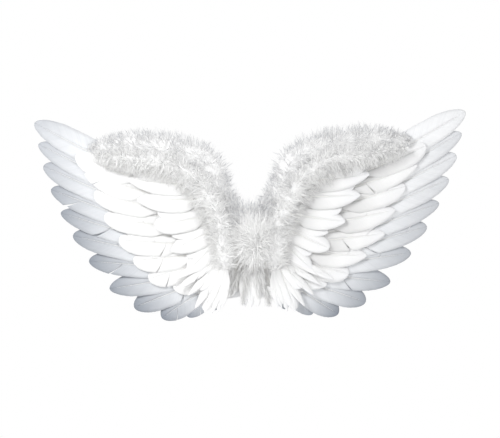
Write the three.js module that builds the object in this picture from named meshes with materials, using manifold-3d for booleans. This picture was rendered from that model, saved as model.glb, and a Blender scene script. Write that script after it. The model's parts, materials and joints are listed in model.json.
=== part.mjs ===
// Feather fairy wings for dressing up: two feathered wings on wire frames, folded from a small centre pad
// that rests on the wearer's back and is held on by two elastic arm loops.
// Millimetres, +Z up. The feathers face -Y and the wearer's back is at +Y. The origin is the middle of the
// pad's rear face. Each wing is drawn as the right one, and the left one is its mirror image.
import * as THREE from "three";
import { mergeVertices } from "three/addons/utils/BufferGeometryUtils.js";
import Module from "manifold-3d";

const wasm = await Module();
wasm.setup();

// ---- Driving dimensions ----
const WING_REACH = 300; // centre line of the body to the outermost feather tip
const WING_HEIGHT = 290; // scale of every height drawn on the wing
const LEAN = { right: 0.028, left: -0.028 }; // rise per millimetre outwards: the wings are not quite level
const GAP = 0.3; // air between pieces that touch

// Centre
const CARD = { width: 42, height: 96, thick: 2, corner: 6 };
const PAD = { width: 40, thick: 4, corner: 8, margin: 4 }; // the margin is the bare card between pad and straps
const FELT_THICK = 1.2;
const TUFT = { halfWidth: 14, halfDepth: 9, halfHeight: 40, z: 26 }; // z is its middle

// Wire frame and its tape
const WIRE_DIAMETER = 3;
const BRIDGE_INSET = 8; // the two bridge wires lie this far inside the card's upper and lower edges
const FOLD_CLEARANCE = 2; // the wings fold about vertical lines this far outside the card
const WIRE_FOLD_GAP = 1; // each wire end stops this far from the fold line
const TAPE = { length: 30, thick: 0.5, flange: 5 };

// Felt panels of a wing
const FELT_SETBACK = 3; // the panel's straight inner edge stands this far out from the fold line
const FELT_MARGIN = 5; // felt outside the wire

// Feathers
const FEATHER_SETBACK = 8; // no feather root comes nearer to the fold line than this
const PRIMARY = { count: 12, width: 38, shortest: 15, thick: 0.6, roll: 9 };
const MIDDLE_ROW = { count: 9, width: 34, shortest: 20, thick: 1.6, tape: 18, seam: 9 };
const COVERT_ROW = { count: 8, width: 35, shortest: 18, thick: 1.6, tape: 18, seam: 9 };
const HANGING = { count: 3, width: 14, length: 56, spread: 9, thick: 0.6, below: 2 };

// Marabou trim along the leading edge
const TRIM = { width: 22, depth: 19 };

// Elastic arm loops
const STRAP = { width: 10, thick: 1.2, inset: 1, tab: 18 }; // sewn flat, inset from the card's side edge
const LOOP = { depth: 104, rise: 28, drop: 14, splay: 40 };

// ---- Places that follow from the sizes ----
const FOLD_X = CARD.width / 2 + FOLD_CLEARANCE;
const BRIDGE_HEIGHT = CARD.height / 2 - BRIDGE_INSET;
const STRAP_X = CARD.width / 2 - STRAP.inset - STRAP.width / 2;
const PAD_HEIGHT = CARD.height - 2 * (STRAP.tab + PAD.margin);
const HANGING_TOP = TUFT.z - TUFT.halfHeight - HANGING.below;

// ---- Layers from the pad's rear face forwards (towards -Y) ----
const CARD_BACK = -(PAD.thick + GAP);
const CARD_FRONT = CARD_BACK - CARD.thick;
const WIRE_Y = CARD_FRONT - GAP - WIRE_DIAMETER / 2;
const BACK_FELT_FRONT = WIRE_Y + WIRE_DIAMETER / 2 + GAP;
const FRONT_FELT_BACK = WIRE_Y - WIRE_DIAMETER / 2 - TAPE.thick - 2 * GAP;
const FEATHER_BACK = FRONT_FELT_BACK - FELT_THICK - GAP;
const ROLL = THREE.MathUtils.degToRad(PRIMARY.roll);
const PRIMARY_DEPTH = PRIMARY.width * Math.sin(ROLL) + PRIMARY.thick;
const PRIMARY_Y = FEATHER_BACK - PRIMARY_DEPTH / 2;
const MIDDLE_Y = FEATHER_BACK - PRIMARY_DEPTH - GAP - MIDDLE_ROW.thick / 2;
const COVERT_Y = MIDDLE_Y - MIDDLE_ROW.thick / 2 - GAP - COVERT_ROW.thick / 2;
const TRIM_Y = FEATHER_BACK - TRIM.depth / 2;

// ---- Lines drawn on a wing, as [share of the reach, share of the height] ----
// The first number counts from the feather setback, so that the fold stays free at every size.
const PRIMARY_TIPS = [
  [1, 0.648], [0.959, 0.459], [0.881, 0.252], [0.762, 0.048], [0.565, -0.19], [0.312, -0.3], [0.071, -0.262],
];
const PRIMARY_ROOTS = [
  [0.506, 0.407], [0.431, 0.241], [0.335, 0.086], [0.212, -0.041], [0.115, -0.09], [0.056, -0.124],
  [0.015, -0.155],
];
const MIDDLE_TIPS = [[0.792, 0.49], [0.688, 0.3], [0.569, 0.076], [0.398, -0.11], [0.134, -0.19]];
const MIDDLE_ROOTS = [[0.431, 0.369], [0.305, 0.224], [0.197, 0.059], [0.097, -0.021], [0.041, -0.08]];
const COVERT_TIPS = [
  [0.498, 0.428], [0.494, 0.328], [0.387, 0.165], [0.268, -0.003], [0.152, -0.12], [0.1, -0.235],
];
const COVERT_ROOTS = [
  [0.208, 0.39], [0.156, 0.32], [0.14, 0.2], [0.075, 0.105], [0.041, 0.03], [0.034, -0.05],
];
// The trim's inner edge: the trim stands outside this line, clear of the feather rows.
const TRIM_INNER = [
  [0.104, 0.213], [0.11, 0.328], [0.158, 0.407], [0.271, 0.464], [0.424, 0.492], [0.553, 0.486],
];
// The wire leaves the upper bridge, runs round the wing under the trim and comes back to the lower bridge.
const WIRE_LINE = [
  [0.06, 0.225], [0.078, 0.338], [0.145, 0.428], [0.275, 0.486], [0.46, 0.505], [0.6, 0.472],
  [0.584, 0.338], [0.472, 0.159], [0.323, 0.014], [0.167, -0.097],
];

// ---- Materials ----
const COLOURS = {
  feather: 0xf4f4f2,
  quill: 0xe9ecef,
  marabou: 0xf1f1ef,
  felt: 0xf0efec,
  card: 0xd9d6cf,
  wire: 0x9aa0a6,
  tape: 0xe6e2d6,
  elastic: 0xf5f5f5,
};

function finish(colour, roughness, metalness = 0) {
  return new THREE.MeshStandardMaterial({ color: COLOURS[colour], roughness, metalness });
}

// ---- Helpers ----
function named(name, geometry, material) {
  const mesh = new THREE.Mesh(geometry, material);
  mesh.name = name;
  return mesh;
}

// A point on the right wing from its shares of the reach and the height, with the wing's lean.
function onWing([out, up], lean) {
  const inner = FOLD_X + FEATHER_SETBACK;
  const x = inner + out * (WING_REACH - inner);
  return new THREE.Vector3(x, 0, up * WING_HEIGHT + lean * (x - FOLD_X));
}

function wingCurve(points, lean) {
  return new THREE.CatmullRomCurve3(points.map((p) => onWing(p, lean)));
}

// The outline of a feather lying along +X from its quill at 0: slim at the quill, widest past the middle.
function featherShape(length, width) {
  const half = width / 2;
  const quill = Math.min(1.2, half / 3);
  const shape = new THREE.Shape();
  shape.moveTo(0, -quill);
  shape.bezierCurveTo(length * 0.05, -quill, length * 0.15, -half, length * 0.6, -half);
  shape.bezierCurveTo(length * 0.84, -half, length * 0.97, -half * 0.5, length, 0);
  shape.bezierCurveTo(length * 0.97, half * 0.5, length * 0.84, half, length * 0.6, half);
  shape.bezierCurveTo(length * 0.15, half, length * 0.05, quill, 0, quill);
  shape.closePath();
  return shape;
}

function slab(shape, thick, curveSegments = 5) {
  const geometry = new THREE.ExtrudeGeometry(shape, { depth: thick, bevelEnabled: false, curveSegments });
  return geometry.translate(0, 0, -thick / 2);
}

function roundedRectangle(width, height, corner) {
  const x = width / 2;
  const z = height / 2;
  const shape = new THREE.Shape();
  shape.moveTo(-x + corner, -z);
  shape.lineTo(x - corner, -z);
  shape.absarc(x - corner, -z + corner, corner, -Math.PI / 2, 0);
  shape.lineTo(x, z - corner);
  shape.absarc(x - corner, z - corner, corner, 0, Math.PI / 2);
  shape.lineTo(-x + corner, z);
  shape.absarc(-x + corner, z - corner, corner, Math.PI / 2, Math.PI);
  shape.lineTo(-x, -z + corner);
  shape.absarc(-x + corner, -z + corner, corner, Math.PI, Math.PI * 1.5);
  return shape;
}

// An upright plate drawn in the X-Z plane, whose rear face is at y = back.
function uprightPlate(name, shape, thick, back, material) {
  const mesh = named(name, slab(shape, thick, 2), material);
  mesh.rotation.x = Math.PI / 2;
  mesh.position.y = back - thick / 2;
  return mesh;
}

// Turns an object that lies along +X and faces +Z so that it runs from root to tip on the wing, facing -Y.
function layOnWing(object, root, tip, y) {
  const along = tip.clone().sub(root).normalize();
  const front = new THREE.Vector3(0, -1, 0);
  const across = front.clone().cross(along);
  object.quaternion.setFromRotationMatrix(new THREE.Matrix4().makeBasis(along, across, front));
  object.position.set(root.x, y, root.z);
  return object;
}

// Joins overlapping meshes into one closed solid.
function joined(meshes) {
  let whole = null;
  for (const mesh of meshes) {
    mesh.updateMatrixWorld(true);
    const bare = mesh.geometry.clone().deleteAttribute("normal").deleteAttribute("uv");
    const merged = mergeVertices(bare.applyMatrix4(mesh.matrixWorld), 1e-3);
    const solid = new wasm.Manifold(
      new wasm.Mesh({
        numProp: 3,
        vertProperties: merged.attributes.position.array,
        triVerts: new Uint32Array(merged.index.array),
      }),
    );
    whole = whole ? whole.add(solid) : solid;
  }
  const result = whole.getMesh();
  const geometry = new THREE.BufferGeometry();
  geometry.setAttribute("position", new THREE.BufferAttribute(new Float32Array(result.vertProperties), 3));
  geometry.setIndex(new THREE.BufferAttribute(new Uint32Array(result.triVerts), 1));
  geometry.computeVertexNormals();
  return geometry;
}

// ---- Centre ----
function backPad() {
  return uprightPlate(
    "back_pad", roundedRectangle(PAD.width, PAD_HEIGHT, PAD.corner), PAD.thick, 0, finish("felt", 0.95));
}

function centreCard() {
  return uprightPlate(
    "centre_card", roundedRectangle(CARD.width, CARD.height, CARD.corner), CARD.thick, CARD_BACK,
    finish("card", 0.85));
}

function frontFeltPatch() {
  return uprightPlate(
    "front_felt_patch", roundedRectangle(CARD.width, CARD.height, CARD.corner), FELT_THICK, FRONT_FELT_BACK,
    finish("felt", 0.95));
}

function bridgeWire(name, z) {
  const length = 2 * (FOLD_X - WIRE_FOLD_GAP);
  const rod = new THREE.CylinderGeometry(WIRE_DIAMETER / 2, WIRE_DIAMETER / 2, length, 12);
  const mesh = named(name, rod, finish("wire", 0.35, 0.9));
  mesh.rotation.z = Math.PI / 2;
  mesh.position.set(0, WIRE_Y, z);
  return mesh;
}

// A strip of tape pressed over a bridge wire, with a flat flange on the card above and below it.
function wireTape(name, z) {
  const inner = WIRE_DIAMETER / 2 + GAP;
  const outer = inner + TAPE.thick;
  const reach = outer + TAPE.flange;
  const seat = WIRE_Y + WIRE_DIAMETER / 2; // the flange's rear face, the usual gap in front of the card
  const shape = new THREE.Shape();
  shape.moveTo(-reach, seat);
  shape.lineTo(-inner, seat);
  shape.lineTo(-inner, WIRE_Y);
  shape.absarc(0, WIRE_Y, inner, Math.PI, 2 * Math.PI);
  shape.lineTo(inner, seat);
  shape.lineTo(reach, seat);
  shape.lineTo(reach, seat - TAPE.thick);
  shape.lineTo(outer, seat - TAPE.thick);
  shape.lineTo(outer, WIRE_Y);
  shape.absarc(0, WIRE_Y, outer, 2 * Math.PI, Math.PI, true);
  shape.lineTo(-outer, seat - TAPE.thick);
  shape.lineTo(-reach, seat - TAPE.thick);
  shape.closePath();
  const mesh = named(name, slab(shape, TAPE.length, 6), finish("tape", 0.6));
  // The profile's first axis becomes Z, its second stays Y, and the strip runs along X.
  mesh.rotation.y = -Math.PI / 2;
  mesh.position.z = z;
  return mesh;
}

function centreTuft() {
  const mesh = named("centre_fluff_tuft", new THREE.SphereGeometry(1, 14, 10), finish("marabou", 1));
  mesh.scale.set(TUFT.halfWidth, TUFT.halfDepth, TUFT.halfHeight);
  mesh.position.set(0, FEATHER_BACK - TUFT.halfDepth, TUFT.z);
  return mesh;
}

function hangingFeather(number) {
  const x = (number - (HANGING.count - 1) / 2) * HANGING.spread;
  const shape = featherShape(HANGING.length, HANGING.width);
  const name = "centre_hanging_feather_" + (number + 1);
  const mesh = named(name, slab(shape, HANGING.thick, 4), finish("feather", 0.8));
  const root = new THREE.Vector3(x, 0, HANGING_TOP);
  layOnWing(mesh, root, new THREE.Vector3(x, 0, HANGING_TOP - HANGING.length), 0);
  mesh.rotateX(-ROLL);
  mesh.position.y = FEATHER_BACK - (HANGING.width * Math.sin(ROLL) + HANGING.thick) / 2;
  return mesh;
}

// ---- One wing, drawn as the right one ----
// Every wire point: straight out of the bridge, round the wing and straight back in.
function wirePath(lean) {
  const start = FOLD_X + WIRE_FOLD_GAP;
  const level = (x, z) => new THREE.Vector3(x, 0, z + lean * (x - FOLD_X));
  const points = [
    new THREE.Vector3(start, 0, BRIDGE_HEIGHT),
    level(start + 11, BRIDGE_HEIGHT + 3),
    ...WIRE_LINE.map((p) => onWing(p, lean)),
    level(start + 14, -BRIDGE_HEIGHT + 1),
    new THREE.Vector3(start, 0, -BRIDGE_HEIGHT),
  ];
  return new THREE.CatmullRomCurve3(points);
}

function wingWire(side, lean) {
  const section = new THREE.Shape().absarc(0, 0, WIRE_DIAMETER / 2, 0, 2 * Math.PI);
  const geometry = new THREE.ExtrudeGeometry(section, {
    extrudePath: wirePath(lean), steps: 40, curveSegments: 4, bevelEnabled: false,
  });
  const mesh = named(side + "_wing_wire", geometry, finish("wire", 0.35, 0.9));
  mesh.position.y = WIRE_Y;
  return mesh;
}

// A felt panel: the wire's line with a margin outside it, closed by a straight edge beside the fold.
function wingFelt(name, lean, back) {
  const path = wirePath(lean);
  const samples = 40;
  const edge = FOLD_X + FELT_SETBACK;
  const outline = [];
  for (let i = 0; i <= samples; i++) {
    const share = 0.02 + (0.96 * i) / samples;
    const point = path.getPointAt(share);
    const along = path.getTangentAt(share);
    const x = point.x - along.z * FELT_MARGIN;
    outline.push(new THREE.Vector2(Math.max(x, edge), point.z + along.x * FELT_MARGIN));
  }
  const first = outline[0];
  const last = outline[outline.length - 1];
  if (first.x > edge) outline.unshift(new THREE.Vector2(edge, first.y));
  if (last.x > edge) outline.push(new THREE.Vector2(edge, last.y));
  const shape = new THREE.Shape(outline.reverse());
  return uprightPlate(name, shape, FELT_THICK, back, finish("felt", 0.95));
}

function featherAt(row, tips, roots, share) {
  const root = roots.getPoint(share);
  const tip = tips.getPoint(share);
  const length = root.distanceTo(tip);
  const width = THREE.MathUtils.clamp(length * 0.42, row.shortest, row.width);
  return { root, tip, shape: featherShape(length, width) };
}

function primaryFeather(side, lean, number) {
  const share = number / (PRIMARY.count - 1);
  const tips = wingCurve(PRIMARY_TIPS, lean);
  const roots = wingCurve(PRIMARY_ROOTS, lean);
  const { root, tip, shape } = featherAt(PRIMARY, tips, roots, share);
  const label = String(number + 1).padStart(2, "0");
  const mesh = named(side + "_primary_feather_" + label, slab(shape, PRIMARY.thick), finish("quill", 0.75));
  layOnWing(mesh, root, tip, PRIMARY_Y);
  mesh.rotateX(-ROLL); // the lower edge of each feather lies over the feather below it
  return mesh;
}

// A row of feathers sewn side by side on a tape.
function featherRow(name, row, tipPoints, rootPoints, lean, y) {
  const tips = wingCurve(tipPoints, lean);
  const roots = wingCurve(rootPoints, lean);
  const pieces = [];
  const seam = []; // where the tape crosses each feather, a little out from the end of its quill
  for (let i = 0; i < row.count; i++) {
    const { root, tip, shape } = featherAt(row, tips, roots, i / (row.count - 1));
    pieces.push(layOnWing(new THREE.Mesh(slab(shape, row.thick, 4)), root, tip, y));
    seam.push(root.clone().lerp(tip, Math.min(row.seam / root.distanceTo(tip), 0.2)));
  }
  const flat = new THREE.Shape();
  flat.moveTo(-row.thick / 2, -row.tape / 2);
  flat.lineTo(row.thick / 2, -row.tape / 2);
  flat.lineTo(row.thick / 2, row.tape / 2);
  flat.lineTo(-row.thick / 2, row.tape / 2);
  flat.closePath();
  const band = new THREE.ExtrudeGeometry(flat, {
    extrudePath: new THREE.CatmullRomCurve3(seam), steps: 12, bevelEnabled: false,
  });
  const tape = new THREE.Mesh(band);
  tape.position.y = y;
  return named(name, joined([...pieces, tape]), finish("feather", 0.8));
}

function trimPath(lean) {
  const inner = wingCurve(TRIM_INNER, lean);
  const samples = 10;
  const points = [];
  for (let i = 0; i <= samples; i++) {
    const along = inner.getTangent(i / samples);
    const outwards = new THREE.Vector3(-along.z, 0, along.x);
    points.push(inner.getPoint(i / samples).addScaledVector(outwards, TRIM.width / 2));
  }
  return new THREE.CatmullRomCurve3(points);
}

function leadingEdgeTrim(side, lean) {
  const section = new THREE.Shape().absellipse(0, 0, TRIM.depth / 2, TRIM.width / 2, 0, 2 * Math.PI);
  const geometry = new THREE.ExtrudeGeometry(section, {
    extrudePath: trimPath(lean), steps: 16, curveSegments: 6, bevelEnabled: false,
  });
  const mesh = named(side + "_marabou_trim", geometry, finish("marabou", 1));
  mesh.position.y = TRIM_Y;
  return mesh;
}

function wing(side) {
  const lean = LEAN[side];
  const group = new THREE.Group();
  group.add(wingWire(side, lean));
  group.add(wingFelt(side + "_wing_back_felt", lean, BACK_FELT_FRONT + FELT_THICK));
  group.add(wingFelt(side + "_wing_front_felt", lean, FRONT_FELT_BACK));
  for (let i = 0; i < PRIMARY.count; i++) group.add(primaryFeather(side, lean, i));
  group.add(featherRow(side + "_middle_feather_row", MIDDLE_ROW, MIDDLE_TIPS, MIDDLE_ROOTS, lean, MIDDLE_Y));
  group.add(featherRow(side + "_covert_feather_row", COVERT_ROW, COVERT_TIPS, COVERT_ROOTS, lean, COVERT_Y));
  group.add(leadingEdgeTrim(side, lean));
  return group;
}

// ---- Arm loop, drawn for the right shoulder ----
function strapEnd(name, upOrDown) {
  const shape = roundedRectangle(STRAP.width, STRAP.tab, 1);
  const mesh = uprightPlate(name, shape, STRAP.thick, CARD_BACK + GAP + STRAP.thick, finish("elastic", 0.9));
  mesh.position.x = STRAP_X;
  mesh.position.z = (upOrDown * (CARD.height - STRAP.tab)) / 2;
  return mesh;
}

// The loop leaves the upper sewn end, goes out round the arm and comes back to the lower sewn end.
function armLoop(side) {
  const edge = CARD.height / 2;
  const line = [
    [0, edge + GAP], [LOOP.depth * 0.015, edge + LOOP.rise * 0.3], [LOOP.depth * 0.12, edge + LOOP.rise * 0.72],
    [LOOP.depth * 0.4, edge + LOOP.rise], [LOOP.depth * 0.76, edge + LOOP.rise * 0.5],
    [LOOP.depth, edge * 0.5], [LOOP.depth, -edge * 0.45],
    [LOOP.depth * 0.78, -edge - LOOP.drop * 0.25], [LOOP.depth * 0.42, -edge - LOOP.drop],
    [LOOP.depth * 0.12, -edge - LOOP.drop * 0.85], [LOOP.depth * 0.015, -edge - LOOP.drop * 0.4],
    [0, -edge - GAP],
  ];
  const path = new THREE.CatmullRomCurve3(line.map(([out, up]) => new THREE.Vector3(out, up, 0)));
  const samples = 36;
  const outside = [];
  const inside = [];
  for (let i = 0; i <= samples; i++) {
    const point = path.getPointAt(i / samples);
    const along = path.getTangentAt(i / samples);
    const aside = new THREE.Vector2(-along.y, along.x).multiplyScalar(STRAP.thick / 2);
    outside.push(new THREE.Vector2(point.x + aside.x, point.y + aside.y));
    inside.unshift(new THREE.Vector2(point.x - aside.x, point.y - aside.y));
  }
  const shape = new THREE.Shape([...outside, ...inside]);
  const mesh = named(side + "_arm_loop", slab(shape, STRAP.width), finish("elastic", 0.9));
  const splay = THREE.MathUtils.degToRad(LOOP.splay);
  const out = new THREE.Vector3(Math.sin(splay), Math.cos(splay), 0);
  const up = new THREE.Vector3(0, 0, 1);
  mesh.quaternion.setFromRotationMatrix(new THREE.Matrix4().makeBasis(out, up, out.clone().cross(up)));
  mesh.position.set(STRAP_X, CARD_BACK + GAP + STRAP.thick / 2, 0);
  return mesh;
}

function strap(side) {
  const group = new THREE.Group();
  group.add(strapEnd(side + "_strap_upper_end", 1));
  group.add(strapEnd(side + "_strap_lower_end", -1));
  group.add(armLoop(side));
  return group;
}

// ---- Assembly ----
const fairyWings = new THREE.Group();
fairyWings.add(backPad());
fairyWings.add(centreCard());
fairyWings.add(frontFeltPatch());
fairyWings.add(bridgeWire("upper_bridge_wire", BRIDGE_HEIGHT));
fairyWings.add(bridgeWire("lower_bridge_wire", -BRIDGE_HEIGHT));
fairyWings.add(wireTape("upper_wire_tape", BRIDGE_HEIGHT));
fairyWings.add(wireTape("lower_wire_tape", -BRIDGE_HEIGHT));
fairyWings.add(centreTuft());
for (let i = 0; i < HANGING.count; i++) fairyWings.add(hangingFeather(i));
for (const side of ["right", "left"]) {
  const half = new THREE.Group();
  half.add(wing(side));
  half.add(strap(side));
  half.scale.x = side === "left" ? -1 : 1;
  fairyWings.add(half);
}

export default fairyWings;
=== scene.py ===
# %% [markdown]
# Feather fairy wings, a lesson in cells.
# Costume wings like these are two flat wings of real feathers on a bent steel wire, joined by a small
# stiff centre that rests on the wearer's back. The solid frame of the wings is loaded first and never
# changed: every soft piece that this file makes is laid on it, and most of them are tied to the wing or
# the centre that carries them, so that they move with it.

# %% Load the frame
import json
import math

import bmesh
import bpy
import numpy as np
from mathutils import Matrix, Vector


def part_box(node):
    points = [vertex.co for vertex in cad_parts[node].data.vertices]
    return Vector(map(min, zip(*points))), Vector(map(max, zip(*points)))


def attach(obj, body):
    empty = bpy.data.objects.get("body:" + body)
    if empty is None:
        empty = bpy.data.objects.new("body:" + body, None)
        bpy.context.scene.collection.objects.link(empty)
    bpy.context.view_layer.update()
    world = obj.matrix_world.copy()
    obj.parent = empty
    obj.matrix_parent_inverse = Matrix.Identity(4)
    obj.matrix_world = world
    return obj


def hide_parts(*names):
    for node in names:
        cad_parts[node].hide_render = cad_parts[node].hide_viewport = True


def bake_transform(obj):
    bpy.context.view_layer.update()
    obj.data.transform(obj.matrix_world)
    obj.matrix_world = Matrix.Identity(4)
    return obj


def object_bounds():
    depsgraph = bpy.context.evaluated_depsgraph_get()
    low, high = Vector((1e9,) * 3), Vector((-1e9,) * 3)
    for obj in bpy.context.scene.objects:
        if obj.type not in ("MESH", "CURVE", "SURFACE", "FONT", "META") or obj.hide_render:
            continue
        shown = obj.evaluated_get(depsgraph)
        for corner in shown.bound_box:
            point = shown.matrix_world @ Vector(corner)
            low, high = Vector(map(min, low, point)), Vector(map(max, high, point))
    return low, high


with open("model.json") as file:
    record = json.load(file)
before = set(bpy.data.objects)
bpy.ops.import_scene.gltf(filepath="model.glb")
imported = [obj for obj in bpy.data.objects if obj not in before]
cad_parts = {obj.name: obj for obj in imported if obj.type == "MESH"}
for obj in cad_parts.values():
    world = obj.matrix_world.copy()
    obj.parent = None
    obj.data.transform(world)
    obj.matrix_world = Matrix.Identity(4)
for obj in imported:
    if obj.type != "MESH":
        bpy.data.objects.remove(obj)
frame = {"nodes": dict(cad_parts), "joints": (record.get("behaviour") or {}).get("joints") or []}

MM = 0.001
SIDES = {"right": 1, "left": -1}
LEFT_SEED = {"right": 0, "left": 1}      # so that the two wings are alike, but not the same
cad_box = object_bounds()
fold_x = abs(next(j for j in frame["joints"] if j["name"] == "right_wing_bend")["pos_m"][0])
wing_reach = cad_box[1][0]
wing_height = 0.29
WING_LEAN = 0.028        # one wing stands a little higher than the other
print("frame", [round(float(v), 4) for v in (*cad_box[0], *cad_box[1])], "fold line at", fold_x)

# %% [markdown]
# The camera stands straight in front of the wings, on the feathered side, far enough away for a long
# lens. A long lens keeps both wing tips in proportion, and their outline undistorted. The lamps, the sky
# and the floor are a plain bright studio: the sky is white for the camera, and dimmer as a light, so that
# the soft grey shadows between the rows of feathers survive.

# %% Camera
frame_width = 0.6895
camera_lens = 85
sensor_width = 36
camera_distance = frame_width * camera_lens / sensor_width
camera_height = 0.0496
wings_front = -0.02

camera_data = bpy.data.cameras.new("camera")
camera_data.lens = camera_lens
camera_data.sensor_width = sensor_width
camera = bpy.data.objects.new("camera", camera_data)
camera.location = (0, wings_front - camera_distance, camera_height)
camera.rotation_euler = (math.pi / 2, 0, 0)
bpy.context.scene.collection.objects.link(camera)
bpy.context.scene.camera = camera
print("camera", tuple(round(v, 3) for v in camera.location))

# %% Studio
SKY_LIGHT = 0.55
FLOOR_Z = -0.36
FLOOR_HALF = 3
FADE_STARTS = 0.12
FADE_ENDS = 0.5
LAMPS = {
    # place, what it looks at, size in metres, watts
    "key from the left": ((-0.8, -0.95, 0.75), (-0.05, 0, 0.03), 0.4, 10.5),
    "soft fill from the right": ((1.6, -1.6, 0.2), (0.1, 0, 0.03), 1.0, 7.2),
    "soft light from behind": ((0.6, 1.6, 0.9), (0, 0, 0.03), 1.2, 14),
}


def area_lamp(name, place, aim, size, watts):
    data = bpy.data.lights.new(name, "AREA")
    data.size = size
    data.energy = watts
    lamp = bpy.data.objects.new(name, data)
    lamp.location = place
    lamp.rotation_euler = (Vector(aim) - Vector(place)).to_track_quat("-Z", "Y").to_euler()
    bpy.context.scene.collection.objects.link(lamp)


def feed(tree, socket, value):
    """Gives a socket of a node a number, a colour or a link from another node."""
    if isinstance(value, bpy.types.NodeSocket):
        tree.links.new(value, socket)
    elif isinstance(value, tuple) and len(socket.default_value) == len(value) + 1:
        socket.default_value = (*value, 1)
    else:
        socket.default_value = value


def add_node(tree, kind, inputs=None, **settings):
    """A new node with its settings made and its inputs fed."""
    node = tree.nodes.new("ShaderNode" + kind)
    for name, setting in settings.items():
        setattr(node, name, setting)
    for name, value in (inputs or {}).items():
        feed(tree, node.inputs[name], value)
    return node


def maths(tree, operation, first, second):
    return add_node(tree, "Math", {0: first, 1: second}, operation=operation).outputs[0]


def seen_directly(tree):
    return add_node(tree, "LightPath").outputs["Is Camera Ray"]


def white_sky():
    world = bpy.data.worlds.new("studio sky")
    bpy.context.scene.world = world
    world.use_nodes = True
    tree = world.node_tree
    background = tree.nodes["Background"]
    level = add_node(tree, "MapRange", {"Value": seen_directly(tree), "To Min": SKY_LIGHT, "To Max": 1.0})
    feed(tree, background.inputs["Strength"], level.outputs["Result"])
    feed(tree, background.inputs["Color"], (1, 1, 1))


white_sky()
for lamp_name, lamp_values in LAMPS.items():
    area_lamp(lamp_name, *lamp_values)
bpy.context.scene.view_settings.view_transform = "Standard"


def fading_floor():
    """Pale paint near the wings that turns into the white of the sky further out, so no horizon shows."""
    paint = bpy.data.materials.new("pale floor")
    paint.use_nodes = True
    tree = paint.node_tree
    matt = tree.nodes["Principled BSDF"]
    feed(tree, matt.inputs["Base Color"], (0.97, 0.97, 0.97))
    feed(tree, matt.inputs["Roughness"], 0.9)
    place = add_node(tree, "TexCoord").outputs["Object"]
    away = add_node(tree, "VectorMath", {0: place}, operation="LENGTH").outputs["Value"]
    limits = {"Value": away, "From Min": FADE_STARTS, "From Max": FADE_ENDS}
    fade = add_node(tree, "MapRange", limits, interpolation_type="SMOOTHSTEP").outputs["Result"]
    white = add_node(tree, "Emission").outputs[0]
    share = maths(tree, "MULTIPLY", fade, seen_directly(tree))
    mix = add_node(tree, "MixShader", {0: share, 1: matt.outputs[0], 2: white})
    feed(tree, tree.nodes["Material Output"].inputs["Surface"], mix.outputs[0])
    return paint


floor_mesh = bpy.data.meshes.new("studio_floor")
corners = [(x * FLOOR_HALF, y * FLOOR_HALF, 0) for x, y in ((-1, -1), (1, -1), (1, 1), (-1, 1))]
floor_mesh.from_pydata(corners, [], [(0, 1, 2, 3)])
studio_floor = bpy.data.objects.new("studio_floor", floor_mesh)
studio_floor.location.z = FLOOR_Z
bpy.context.scene.collection.objects.link(studio_floor)
floor_mesh.materials.append(fading_floor())
print("studio with", len(LAMPS), "lamps")

# %% [markdown]
# Every white here is a different white: the vane of a feather has fine slanting barbs, felt is a mat of
# short fibres, elastic is woven. An image could hold those lines, but noise that is stretched along the
# piece's own coordinates gives the same lines at any distance. So each pattern is a small node group,
# built once, and each material sets its own numbers on it.

# %% Pattern groups


def new_group(name, inputs, outputs):
    group = bpy.data.node_groups.new(name, "ShaderNodeTree")
    for label, kind, value in inputs:
        socket = group.interface.new_socket(label, in_out="INPUT", socket_type=kind)
        if value is not None:
            socket.default_value = value
    for label, kind in outputs:
        group.interface.new_socket(label, in_out="OUTPUT", socket_type=kind)
    return group, group.nodes.new("NodeGroupInput"), group.nodes.new("NodeGroupOutput")


def stretched_noise(tree, vector, scale, stretch, detail):
    place = add_node(tree, "Mapping", {"Vector": vector, "Scale": stretch}).outputs["Vector"]
    noise = add_node(tree, "TexNoise", {"Vector": place, "Scale": scale, "Detail": detail})
    return noise.outputs["Fac"]


def barb_group():
    """Lines along the barbs: the vane map's first number is the same all along one barb."""
    group, given, made = new_group(
        "barb lines",
        [("Vane", "NodeSocketVector", None), ("Fineness", "NodeSocketFloat", 260.0)],
        [("Lines", "NodeSocketFloat"), ("Streaks", "NodeSocketFloat")])
    fine = stretched_noise(group, given.outputs["Vane"], given.outputs["Fineness"], (1, 0.02, 1), 2)
    broad_scale = maths(group, "MULTIPLY", given.outputs["Fineness"], 0.12)
    broad = stretched_noise(group, given.outputs["Vane"], broad_scale, (1, 0.12, 1), 3)
    feed(group, made.inputs["Lines"], fine)
    feed(group, made.inputs["Streaks"], broad)
    return group


def fibre_group():
    """A mat of short fibres, for felt, board and down."""
    group, given, made = new_group(
        "fibre mat",
        [("Place", "NodeSocketVector", None), ("Size", "NodeSocketFloat", 900.0)],
        [("Fibres", "NodeSocketFloat"), ("Clouds", "NodeSocketFloat")])
    one = stretched_noise(group, given.outputs["Place"], given.outputs["Size"], (1, 1, 0.25), 4)
    two = stretched_noise(group, given.outputs["Place"], given.outputs["Size"], (0.25, 1, 1), 4)
    clouds_scale = maths(group, "MULTIPLY", given.outputs["Size"], 0.06)
    clouds = stretched_noise(group, given.outputs["Place"], clouds_scale, (1, 1, 1), 3)
    feed(group, made.inputs["Fibres"], maths(group, "MAXIMUM", one, two))
    feed(group, made.inputs["Clouds"], clouds)
    return group


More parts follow.
